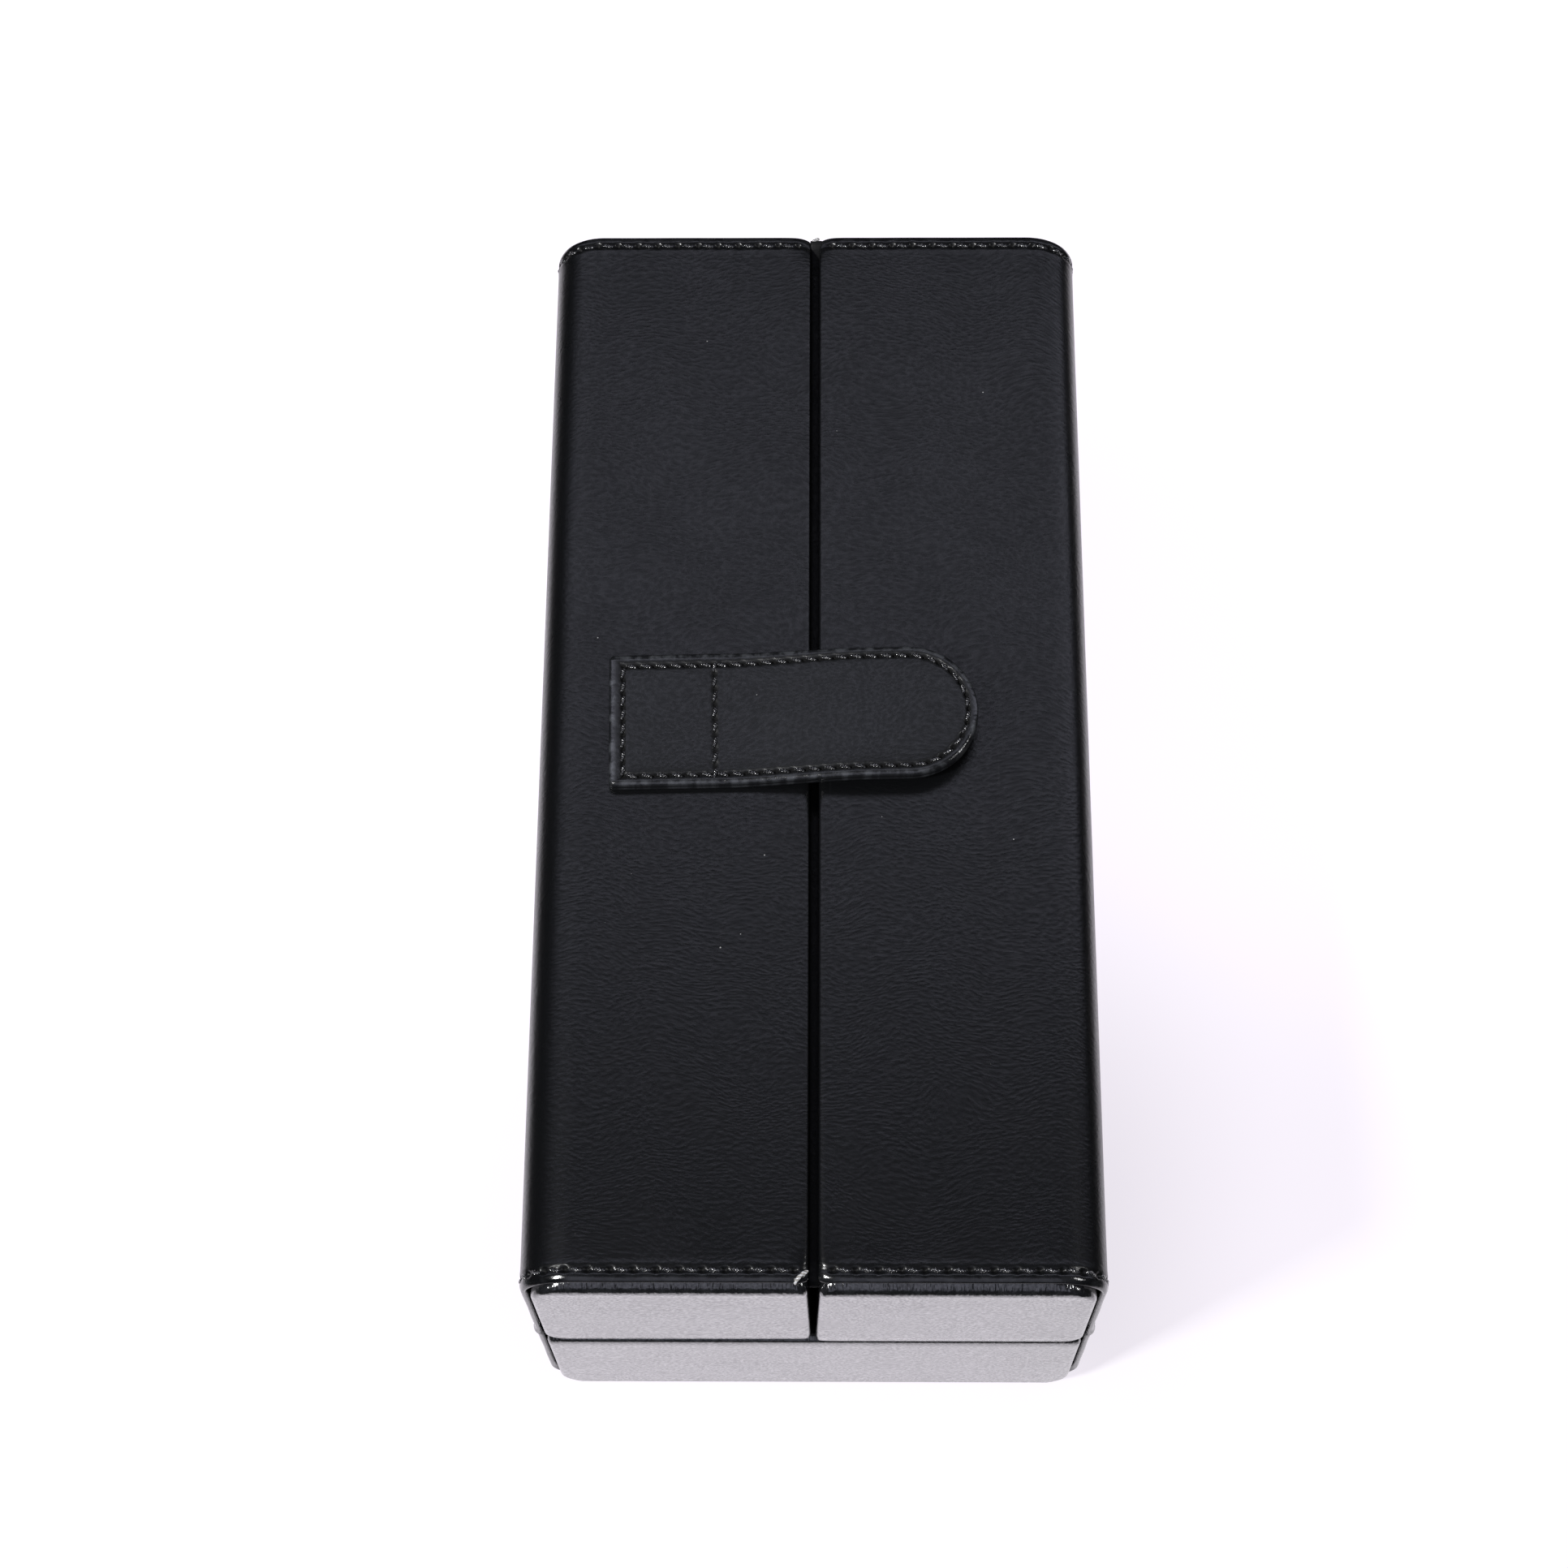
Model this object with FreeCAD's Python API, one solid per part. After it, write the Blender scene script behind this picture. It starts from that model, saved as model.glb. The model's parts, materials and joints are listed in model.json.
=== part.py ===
"""Two-door jewelry box: a base tray and two lid trays held in one leather cover, closed by a strap.

Millimetres. The origin is the centre of the footprint on the table, +Z is up, and +Y runs along the box
to its far end. Each lid swings outwards about the leather fold at its outer side.
"""
import FreeCAD
import Part

import math
import os

Vector = FreeCAD.Vector

# Driving dimensions of the closed box
CASE_WIDTH = 100.0          # across the outside of the leather cover
COVER_LENGTH = 203.0        # the cover from its front edge to its back edge
CASE_HEIGHT = 81.0          # table to the top of the lids
PARTING_HEIGHT = 40.0       # table to the parting line between base and lids
CORNER_RADIUS = 9.5         # outside radius of the four long edges
LID_GAP = 1.7               # between the two lids
PARTING_GAP = 0.5           # between the lids' rims and the base's rim

# The leather cover and its two folds
COVER_THICK = 1.4           # leather over thin card
COVER_EDGE_ROUND = 0.42 * COVER_THICK
HINGE_BAND = 9.0            # height of the soft band between a lid's cover and the base's cover
HINGE_LEATHER = 0.9         # thickness of that band
HINGE_OUTBOARD = 0.2        # the fold's axis outside the cover's face
HINGE_BEAD = 0.5            # radius of the swell along the fold

# The trays: card boards, wrapped in leather outside and lined with velvet inside
TRAY_PROUD = 1.1            # how far a tray's end stands out past the cover's edge
SIDE_GAP = 0.6              # between a tray's side and the cover
WRAP_THICK = 0.8
BOARD_THICK = 2.5
LINING_THICK = 0.8
LINING_DROP = 2.0           # the lining stops this far inside the rim
TRAY_END_ROUND = 2.4        # rounding around each tray's end faces
INNER_ROUND_EXTRA = 0.6     # a lid's long edge beside the gap is rounded by this much more
RIM_ROUND = 0.7

# Fittings of the base
RING_BAY = 78.0             # length of the bay that holds the ring rolls
RING_ROLLS = 5
RING_ROLL_HEIGHT = 24.0
RING_SLIT = 0.4             # between two rolls, where a ring is pushed in
DIVIDER_THICK = 2.4
DIVIDER_DROP = 5.0          # a divider's top edge below the base's rim
DIVIDER_ROUND = 0.4 * DIVIDER_THICK

# Fittings of the left lid
HOOK_COUNT = 4
HOOK_WIRE = 1.0             # radius of the hook's wire
HOOK_DROP = 5.0             # straight length below the rail
HOOK_BEND = 2.6             # radius of the hook's bend
HOOK_TIP = 2.0              # straight length after the bend
HOOK_BALL = 1.4             # radius of the ball on the hook's end
RAIL_WIDTH = 12.0
RAIL_THICK = 5.0
RAIL_FROM_END = 4.0         # between the rail and the far end's lining
POCKET_LENGTH = 62.0
POCKET_DEPTH = 8.0          # room behind the pocket's panel
POCKET_PANEL = 1.2
POCKET_HEM = 1.5            # radius of the elastic hem along the pocket's mouth

# Fittings of the right lid
EARRING_BOARD = 2.4
EARRING_SPACE = 12.0        # room behind the earring board
EARRING_RAIL = 4.0          # width of the rails that carry the board
BOARD_CLEARANCE = 0.2       # around the earring board
SLOT_COLUMNS = 3
SLOT_ROWS = 12
SLOT_LENGTH = 5.0
SLOT_WIDTH = 1.4

# The strap, sewn to the left lid by its patch and closed on the right lid by two magnets
STRAP_WIDTH = 25.0
STRAP_PATCH = 18.5          # length of the sewn end, up to the crease
STRAP_TONGUE = 46.9         # length of the free end, from the crease to the tip
STRAP_CREASE_X = -17.6      # where the crease crosses the box
STRAP_CREASE_Y = -0.4
STRAP_SKEW = 1.3            # degrees that the strap was sewn out of square
STRAP_OUTER = 1.4           # thickness of the outer leather
STRAP_LINING = 1.0          # thickness of the leather under it
STRAP_EDGE_ROUND = 0.45 * STRAP_OUTER
STRAP_CORNER = 1.0          # radius of the patch's two corners
CREASE_ROUND = 0.5          # radius of the groove along the crease
RISE_START = 3.0            # along the tongue, where it leaves the lid
RISE_END = 26.0             # along the tongue, where it runs level again
BEND_RADIUS = 30.0          # of the tongue's two gentle bends
MAGNET_RADIUS = 7.5
MAGNET_SET_IN = 13.0        # from the strap's tip to the magnets' centre
LID_MAGNET_PROUD = 1.4
LID_MAGNET_SUNK = 0.7
STRAP_MAGNET_PROUD = 1.2
STRAP_MAGNET_SUNK = 0.4

# Places that follow from the dimensions above
COVER_END = COVER_LENGTH / 2
TRAY_END = COVER_END + TRAY_PROUD
HALF_WIDTH = CASE_WIDTH / 2
TRAY_SIDE = HALF_WIDTH - COVER_THICK - SIDE_GAP
TRAY_CORNER = CORNER_RADIUS - COVER_THICK - SIDE_GAP
TRAY_INNER_ROUND = TRAY_END_ROUND + INNER_ROUND_EXTRA
BASE_RIM = PARTING_HEIGHT - PARTING_GAP / 2
LID_RIM = PARTING_HEIGHT + PARTING_GAP / 2
WALL = WRAP_THICK + BOARD_THICK + LINING_THICK
INSIDE_END = TRAY_END - WALL
BASE_FLOOR = COVER_THICK + WALL
LID_TOP = CASE_HEIGHT - COVER_THICK
LID_CEILING = LID_TOP - WALL
LID_INSIDE_NEAR = LID_GAP / 2 + WALL
LID_INSIDE_FAR = TRAY_SIDE - WALL
HINGE_TOP = PARTING_HEIGHT + HINGE_BAND / 2
HINGE_FOOT = PARTING_HEIGHT - HINGE_BAND / 2
STRAP_THICK = STRAP_OUTER + STRAP_LINING
MAGNET_STACK = LID_MAGNET_PROUD + STRAP_MAGNET_PROUD
NEAR = 1e-4

nodes = {}


# Helpers for outlines, boxes and rounded edges
def across(x, z):
    """A point of an outline drawn across the box."""
    return Vector(x, 0, z)


def flat(x, y):
    """A point of an outline drawn flat."""
    return Vector(x, y, 0)


def outline(corners, place):
    """A face from corners (a, b, radius), each rounded by its own radius."""
    points = [place(a, b) for a, b, _ in corners]
    ends, edges = [], []
    for i, (_, _, radius) in enumerate(corners):
        here = points[i]
        back = (points[i - 1] - here).normalize()
        ahead = (points[(i + 1) % len(points)] - here).normalize()
        if radius <= 0:
            ends.append((here, here))
            continue
        half = back.getAngle(ahead) / 2
        inwards = (back + ahead).normalize()
        start = here + back * (radius / math.tan(half))
        stop = here + ahead * (radius / math.tan(half))
        middle = here + inwards * (radius / math.sin(half) - radius)
        edges.append(Part.Arc(start, middle, stop).toShape())
        ends.append((start, stop))
    for (_, leave), (arrive, _) in zip(ends, ends[1:] + ends[:1]):
        if (arrive - leave).Length > NEAR:
            edges.append(Part.makeLine(leave, arrive))
    return Part.Face(Part.Wire(Part.__sortEdges__(edges)))


def along_box(corners, y0, y1):
    """An outline across the box, carried from y0 to y1."""
    face = outline(corners, across)
    face.translate(Vector(0, y0, 0))
    return face.extrude(Vector(0, y1 - y0, 0))


def span(x0, x1, y0, y1, z0, z1):
    """A box between two values on each axis, in either order."""
    low = Vector(min(x0, x1), min(y0, y1), min(z0, z1))
    return Part.makeBox(abs(x1 - x0), abs(y1 - y0), abs(z1 - z0), low)


def lies_in(edge, axis, value):
    """Whether an edge lies in the plane where that axis has that value."""
    box = edge.BoundBox
    low = getattr(box, axis + "Min")
    high = getattr(box, axis + "Max")
    return abs(low - value) < NEAR and abs(high - value) < NEAR


def rounded(shape, radius, wanted):
    """The shape with the wanted edges rounded."""
    return shape.makeFillet(radius, [e for e in shape.Edges if wanted(e)])


def plain(shape):
    """The shape without seams left by joining."""
    return shape.removeSplitter()


# The leather cover
def lid_cover(side):
    """A lid's cover: down the outer side, round the long edge and over the top to the gap."""
    far = side * HALF_WIDTH
    inner = side * (HALF_WIDTH - COVER_THICK)
    gap = side * LID_GAP / 2
    cover = along_box(
        [
            (far, HINGE_TOP, 0),
            (far, CASE_HEIGHT, CORNER_RADIUS),
            (gap, CASE_HEIGHT, 0),
            (gap, LID_TOP, 0),
            (inner, LID_TOP, CORNER_RADIUS - COVER_THICK),
            (inner, HINGE_TOP, 0),
        ],
        -COVER_END,
        COVER_END,
    )

    def lip(edge):
        if lies_in(edge, "Z", HINGE_TOP):
            return False
        return any(lies_in(edge, "Y", y) for y in (-COVER_END, COVER_END)) or lies_in(edge, "X", gap)

    return rounded(cover, COVER_EDGE_ROUND, lip)


def base_cover():
    """The cover under the base and up both of its sides, as far as the soft bands."""
    inner = HALF_WIDTH - COVER_THICK
    cover = along_box(
        [
            (-HALF_WIDTH, HINGE_FOOT, 0),
            (-HALF_WIDTH, 0, CORNER_RADIUS),
            (HALF_WIDTH, 0, CORNER_RADIUS),
            (HALF_WIDTH, HINGE_FOOT, 0),
            (inner, HINGE_FOOT, 0),
            (inner, COVER_THICK, CORNER_RADIUS - COVER_THICK),
            (-inner, COVER_THICK, CORNER_RADIUS - COVER_THICK),
            (-inner, HINGE_FOOT, 0),
        ],
        -COVER_END,
        COVER_END,
    )

    def lip(edge):
        ends = any(lies_in(edge, "Y", y) for y in (-COVER_END, COVER_END))
        return ends and not lies_in(edge, "Z", HINGE_FOOT)

    return rounded(cover, COVER_EDGE_ROUND, lip)


def hinge_leather(side):
    """The soft band that a lid folds about, with a slight swell along the fold."""
    face, back = side * HALF_WIDTH, side * (HALF_WIDTH - HINGE_LEATHER)
    band = span(face, back, -COVER_END, COVER_END, HINGE_FOOT, HINGE_TOP)
    fold = Vector(side * (HALF_WIDTH + HINGE_OUTBOARD), -COVER_END, PARTING_HEIGHT)
    bead = Part.makeCylinder(HINGE_BEAD, COVER_LENGTH, fold, Vector(0, 1, 0))
    return plain(band.fuse(bead))


nodes["base_cover"] = base_cover()
for name, side in (("left", -1), ("right", 1)):
    nodes[f"{name}_lid_cover"] = lid_cover(side)
    nodes[f"{name}_hinge_leather"] = hinge_leather(side)


# The trays
class Tray:
    """A tray between x0 and x1, from its floor to its mouth, which may face up or down."""

    def __init__(self, x0, x1, floor, mouth, round0, round1):
        self.x0, self.x1 = x0, x1
        self.floor, self.mouth = floor, mouth
        self.round0, self.round1 = round0, round1
        self.way = math.copysign(1, mouth - floor)

    def block(self, inset):
        """The tray as a solid block with rounded ends, every face moved in by inset."""
        floor = self.floor + self.way * inset
        mouth = self.mouth - self.way * inset
        end = TRAY_END - inset
        solid = along_box(
            [
                (self.x0 + inset, floor, self.round0 - inset),
                (self.x1 - inset, floor, self.round1 - inset),
                (self.x1 - inset, mouth, 0),
                (self.x0 + inset, mouth, 0),
            ],
            -end,
            end,
        )

        def around_end(edge):
            ends = any(lies_in(edge, "Y", y) for y in (-end, end))
            return ends and not lies_in(edge, "Z", mouth)

        return rounded(solid, TRAY_END_ROUND - inset, around_end)

    def hollow(self, inset, mouth):
        """The space inside walls of that thickness, from the floor's top to a height of the mouth."""
        end = TRAY_END - inset
        floor = self.floor + self.way * inset
        return span(self.x0 + inset, self.x1 - inset, -end, end, floor, mouth)

    def wrap(self):
        """The leather skin over the outside and the rim."""
        outer = rounded(self.block(0), RIM_ROUND, lambda e: lies_in(e, "Z", self.mouth))
        past_mouth = self.mouth + self.way * WRAP_THICK
        return outer.cut(self.block(WRAP_THICK)).cut(self.hollow(WRAP_THICK + BOARD_THICK, past_mouth))

    def boards(self):
        """The five card boards: floor, front, back and two sides."""
        inside = WRAP_THICK + BOARD_THICK
        card = self.block(WRAP_THICK).cut(self.hollow(inside, self.mouth))
        left, right = self.x0 + inside, self.x1 - inside
        end = TRAY_END - inside
        level = self.floor + self.way * inside
        regions = {
            "floor": span(left, right, -end, end, self.floor, level),
            "front": span(self.x0, self.x1, -TRAY_END, -end, self.floor, self.mouth),
            "back": span(self.x0, self.x1, end, TRAY_END, self.floor, self.mouth),
            "left": span(self.x0, left, -end, end, self.floor, self.mouth),
            "right": span(right, self.x1, -end, end, self.floor, self.mouth),
        }
        return {name: card.common(region) for name, region in regions.items()}

    def lining(self):
        """The velvet inside the walls and floor, stopping short of the rim."""
        edge = self.mouth - self.way * LINING_DROP
        return self.hollow(WRAP_THICK + BOARD_THICK, edge).cut(self.hollow(WALL, edge))


def add_tray(prefix, tray, board_names):
    """Adds a tray's wrap, boards and lining, each board under its own name."""
    nodes[f"{prefix}_wrap"] = tray.wrap()
    nodes[f"{prefix}_lining"] = tray.lining()
    for place, board in tray.boards().items():
        nodes[f"{prefix}_{board_names[place]}_board"] = board


add_tray(
    "base",
    Tray(-TRAY_SIDE, TRAY_SIDE, COVER_THICK, BASE_RIM, TRAY_CORNER, TRAY_CORNER),
    {"floor": "floor", "front": "front", "back": "back", "left": "left", "right": "right"},
)
add_tray(
    "left_lid",
    Tray(-TRAY_SIDE, -LID_GAP / 2, LID_TOP, LID_RIM, TRAY_CORNER, TRAY_INNER_ROUND),
    {"floor": "top", "front": "front", "back": "back", "left": "outer", "right": "inner"},
)
add_tray(
    "right_lid",
    Tray(LID_GAP / 2, TRAY_SIDE, LID_TOP, LID_RIM, TRAY_INNER_ROUND, TRAY_CORNER),
    {"floor": "top", "front": "front", "back": "back", "left": "inner", "right": "outer"},
)


# Fittings of the base: ring rolls in front, and three compartments behind them
INSIDE_SIDE = TRAY_SIDE - WALL
DIVIDER_TOP = BASE_RIM - DIVIDER_DROP
CROSS_FRONT = -INSIDE_END + RING_BAY
CROSS_BACK = CROSS_FRONT + DIVIDER_THICK
SMALL_FRONT = (CROSS_BACK + INSIDE_END - DIVIDER_THICK) / 2
SMALL_BACK = SMALL_FRONT + DIVIDER_THICK


def divider(x0, x1, y0, y1):
    """A velvet-covered card divider with a rounded top edge."""
    card = span(x0, x1, y0, y1, BASE_FLOOR, DIVIDER_TOP)
    thin, faces = ("Y", (y0, y1)) if x1 - x0 > y1 - y0 else ("X", (x0, x1))

    def top_edge(edge):
        return lies_in(edge, "Z", DIVIDER_TOP) and any(lies_in(edge, thin, face) for face in faces)

    return rounded(card, DIVIDER_ROUND, top_edge)


def ring_rolls():
    """Round-topped foam rolls, side by side across the bay."""
    pitch = RING_BAY / RING_ROLLS
    half = (pitch - RING_SLIT) / 2
    shoulder = BASE_FLOOR + RING_ROLL_HEIGHT - half
    rolls = []
    for i in range(RING_ROLLS):
        y = -INSIDE_END + (i + 0.5) * pitch
        foot = span(-INSIDE_SIDE, INSIDE_SIDE, y - half, y + half, BASE_FLOOR, shoulder)
        crown = Part.makeCylinder(half, 2 * INSIDE_SIDE, Vector(-INSIDE_SIDE, y, shoulder), Vector(1, 0, 0))
        rolls.append(plain(foot.fuse(crown)))
    return Part.makeCompound(rolls)


nodes["ring_rolls"] = ring_rolls()
nodes["cross_divider"] = divider(-INSIDE_SIDE, INSIDE_SIDE, CROSS_FRONT, CROSS_BACK)
nodes["long_divider"] = divider(-DIVIDER_THICK / 2, DIVIDER_THICK / 2, CROSS_BACK, INSIDE_END)
nodes["small_divider"] = divider(DIVIDER_THICK / 2, INSIDE_SIDE, SMALL_FRONT, SMALL_BACK)


# Fittings of the left lid: necklace hooks at the far end and a pocket for the chains at the near end
RAIL_BACK = INSIDE_END - RAIL_FROM_END
RAIL_FRONT = RAIL_BACK - RAIL_WIDTH
RAIL_FOOT = LID_CEILING - RAIL_THICK
POCKET_TOP = LID_CEILING - POCKET_DEPTH
POCKET_MOUTH = -INSIDE_END + POCKET_LENGTH


def hook(x):
    """One hook: down from the rail, round to the far end, with a ball on its tip."""
    y = RAIL_FRONT + HOOK_BALL
    start = Vector(x, y, RAIL_FOOT)
    shank = Part.makeCylinder(HOOK_WIRE, HOOK_DROP, start, Vector(0, 0, -1))
    foot = start + Vector(0, 0, -HOOK_DROP)
    ring = Part.makeTorus(HOOK_BEND, HOOK_WIRE, foot + Vector(0, HOOK_BEND, 0), Vector(1, 0, 0))
    reach = HOOK_BEND + 2 * HOOK_WIRE
    quarter = span(x - reach, x + reach, y - reach, y + HOOK_BEND, foot.z - reach, foot.z)
    tip = foot + Vector(0, HOOK_BEND, -HOOK_BEND)
    end = tip + Vector(0, HOOK_TIP, 0)
    point = Part.makeCylinder(HOOK_WIRE, HOOK_TIP, tip, Vector(0, 1, 0))
    ball = Part.makeSphere(HOOK_BALL, end)
    return plain(shank.fuse([ring.common(quarter), point, ball]))


def hook_row():
    """The hooks, evenly spaced along the rail."""
    pitch = (LID_INSIDE_FAR - LID_INSIDE_NEAR) / HOOK_COUNT
    return Part.makeCompound([hook(-LID_INSIDE_NEAR - (i + 0.5) * pitch) for i in range(HOOK_COUNT)])


def pocket():
    """The pocket's panel across the lid, with a round hem along its mouth."""
    x0, x1 = -LID_INSIDE_FAR, -LID_INSIDE_NEAR
    panel = span(x0, x1, -INSIDE_END, POCKET_MOUTH, POCKET_TOP - POCKET_PANEL, POCKET_TOP)
    hem_start = Vector(x0, POCKET_MOUTH, POCKET_TOP - POCKET_PANEL / 2)
    hem = Part.makeCylinder(POCKET_HEM, x1 - x0, hem_start, Vector(1, 0, 0))
    return plain(panel.fuse(hem))


nodes["hook_rail"] = span(-LID_INSIDE_FAR, -LID_INSIDE_NEAR, RAIL_FRONT, RAIL_BACK, RAIL_FOOT, LID_CEILING)
nodes["necklace_hooks"] = hook_row()
nodes["necklace_pocket"] = pocket()


# Fittings of the right lid: a slotted earring board on two rails
EARRING_TOP = LID_CEILING - EARRING_SPACE


def earring_board():
    """The board, with rows of short slots for earring posts and wires."""
    x0, x1 = LID_INSIDE_NEAR + BOARD_CLEARANCE, LID_INSIDE_FAR - BOARD_CLEARANCE
    end = INSIDE_END - BOARD_CLEARANCE
    foot = EARRING_TOP - EARRING_BOARD
    board = span(x0, x1, -end, end, foot, EARRING_TOP)
    clear = LID_INSIDE_NEAR + EARRING_RAIL, LID_INSIDE_FAR - EARRING_RAIL
    column, row = (clear[1] - clear[0]) / SLOT_COLUMNS, 2 * end / SLOT_ROWS
    slots = []
    for i in range(SLOT_COLUMNS):
        for j in range(SLOT_ROWS):
            x = clear[0] + (i + 0.5) * column - SLOT_LENGTH / 2
            y = -end + (j + 0.5) * row - SLOT_WIDTH / 2
            slots.append(span(x, x + SLOT_LENGTH, y, y + SLOT_WIDTH, foot, EARRING_TOP))
    return board.cut(slots)


def earring_rails():
    """Two rails along the lid's walls, between the lining and the board."""
    strips = (
        (LID_INSIDE_NEAR, LID_INSIDE_NEAR + EARRING_RAIL),
        (LID_INSIDE_FAR - EARRING_RAIL, LID_INSIDE_FAR),
    )
    return Part.makeCompound(
        [span(x0, x1, -INSIDE_END, INSIDE_END, EARRING_TOP, LID_CEILING) for x0, x1 in strips]
    )


nodes["earring_board"] = earring_board()
nodes["earring_rails"] = earring_rails()


# The strap, drawn along +X from its crease, then turned and set down on the lids
MAGNET_X = STRAP_TONGUE - MAGNET_SET_IN


def on_lids(shape):
    """Sets down on the lids a shape drawn from the crease, with the lids' top at height 0."""
    placed = shape.copy()
    placed.rotate(Vector(0, 0, 0), Vector(0, 0, 1), STRAP_SKEW)
    placed.translate(Vector(STRAP_CREASE_X, STRAP_CREASE_Y, CASE_HEIGHT))
    return placed


def tongue_layer(low, high):
    """A layer of the tongue between two heights above its underside, following the tongue's rise."""
    lift = MAGNET_STACK
    tip = STRAP_TONGUE + NEAR
    side = along_box(
        [
            (0, low, 0),
            (RISE_START, low, BEND_RADIUS),
            (RISE_END, low + lift, BEND_RADIUS),
            (tip, low + lift, 0),
            (tip, high + lift, 0),
            (RISE_END, high + lift, BEND_RADIUS),
            (RISE_START, high, BEND_RADIUS),
            (0, high, 0),
        ],
        -STRAP_WIDTH / 2,
        STRAP_WIDTH / 2,
    )
    round_end = STRAP_WIDTH / 2 - NEAR
    plan = outline(
        [
            (0, -STRAP_WIDTH / 2, 0),
            (STRAP_TONGUE, -STRAP_WIDTH / 2, round_end),
            (STRAP_TONGUE, STRAP_WIDTH / 2, round_end),
            (0, STRAP_WIDTH / 2, 0),
        ],
        flat,
    )
    return side.common(plan.extrude(Vector(0, 0, high + lift)))


def patch_layer(low, high):
    """A layer of the sewn patch between two heights above the lid."""
    plan = outline(
        [
            (0, -STRAP_WIDTH / 2, 0),
            (0, STRAP_WIDTH / 2, 0),
            (-STRAP_PATCH, STRAP_WIDTH / 2, STRAP_CORNER),
            (-STRAP_PATCH, -STRAP_WIDTH / 2, STRAP_CORNER),
        ],
        flat,
    )
    plan.translate(Vector(0, 0, low))
    return plan.extrude(Vector(0, 0, high - low))


def creased(layer):
    """The layer with the round groove of the crease cut into its end."""
    groove_start = Vector(0, -STRAP_WIDTH / 2, STRAP_THICK)
    return layer.cut(Part.makeCylinder(CREASE_ROUND, STRAP_WIDTH, groove_start, Vector(0, 1, 0)))


def top_rounded(layer, top):
    """The layer with its upper rim rounded, apart from the edge at the crease."""

    def rim(edge):
        return edge.BoundBox.ZMin > top - NEAR and not lies_in(edge, "X", 0)

    return rounded(layer, STRAP_EDGE_ROUND, rim)


def magnet(low, high):
    """A magnet in its round cup, between two heights above the lids."""
    return Part.makeCylinder(MAGNET_RADIUS, high - low, Vector(MAGNET_X, 0, low))


lid_magnet = on_lids(magnet(-LID_MAGNET_SUNK, LID_MAGNET_PROUD))
strap_magnet = magnet(LID_MAGNET_PROUD, MAGNET_STACK + STRAP_MAGNET_SUNK)
nodes["strap_patch"] = on_lids(creased(top_rounded(patch_layer(STRAP_LINING, STRAP_THICK), STRAP_THICK)))
nodes["strap_patch_lining"] = on_lids(patch_layer(0, STRAP_LINING))
nodes["strap_tongue"] = on_lids(creased(tongue_layer(STRAP_LINING, STRAP_THICK)))
nodes["strap_tongue_lining"] = on_lids(tongue_layer(0, STRAP_LINING).cut(strap_magnet))
nodes["strap_magnet"] = on_lids(strap_magnet)
nodes["lid_magnet"] = lid_magnet
nodes["right_lid_cover"] = nodes["right_lid_cover"].cut(lid_magnet)


os.makedirs("parts", exist_ok=True)
for name, shape in nodes.items():
    shape.exportStep(f"parts/{name}.step")
    solids = len(shape.Solids)
    print(f"{name}: {solids} solid(s), {shape.Volume:.1f} mm3, valid {shape.isValid()}")
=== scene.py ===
# %% [markdown]
# # A leather jewelry box with two lids
# The box is a card tray covered in thin black leather, inside a thicker leather jacket that wraps round the
# outside and carries two lids. A strap with a magnet holds the lids shut. The frame brings the sizes,
# bodies and joints. Every visible piece below is a surface worked out with numpy on a grid, because
# leather, thread and velvet are all smooth sheets that a formula describes well.

import json
import math

import bmesh
import bpy
import numpy as np
from mathutils import Matrix, Vector


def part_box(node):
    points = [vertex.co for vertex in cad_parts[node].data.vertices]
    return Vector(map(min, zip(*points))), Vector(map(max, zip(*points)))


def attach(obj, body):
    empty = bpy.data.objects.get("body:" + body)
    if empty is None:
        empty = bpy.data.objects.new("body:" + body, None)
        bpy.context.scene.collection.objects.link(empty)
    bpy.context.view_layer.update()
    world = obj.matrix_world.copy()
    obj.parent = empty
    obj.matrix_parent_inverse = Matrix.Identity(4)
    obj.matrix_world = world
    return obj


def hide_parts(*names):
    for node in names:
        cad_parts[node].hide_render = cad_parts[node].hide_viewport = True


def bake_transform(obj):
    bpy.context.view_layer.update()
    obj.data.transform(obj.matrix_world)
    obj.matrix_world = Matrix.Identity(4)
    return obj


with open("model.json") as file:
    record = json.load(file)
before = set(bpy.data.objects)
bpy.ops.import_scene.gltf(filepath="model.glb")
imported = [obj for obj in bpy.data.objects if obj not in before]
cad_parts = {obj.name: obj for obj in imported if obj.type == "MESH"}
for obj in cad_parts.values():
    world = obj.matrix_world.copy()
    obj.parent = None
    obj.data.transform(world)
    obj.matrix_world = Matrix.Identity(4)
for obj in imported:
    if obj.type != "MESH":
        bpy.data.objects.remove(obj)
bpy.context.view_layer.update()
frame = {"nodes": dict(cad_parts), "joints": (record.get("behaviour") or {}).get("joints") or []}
joints = {joint["name"]: joint for joint in frame["joints"]}
MM = 0.001


def corners(node):
    """Lowest and highest corner of a node of the frame, as arrays."""
    low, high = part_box(node)
    return np.array(low), np.array(high)


print("nodes:", len(frame["nodes"]), "joints:", list(joints))

# %% [markdown]
# ## The camera
# The photograph looks steeply down along the box. A camera is a place and three directions, right, up and
# back, so those are built from the pitch, yaw and roll instead of trial and error with Euler angles.

# %% Camera
CAMERA_PLACE = (0.00153, -0.21431, 0.57993)
CAMERA_PITCH = math.radians(67.885)
CAMERA_YAW = math.radians(-1.95)
CAMERA_ROLL = math.radians(-1.771)
CAMERA_LENS = 69.37
SENSOR = 36.0


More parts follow.
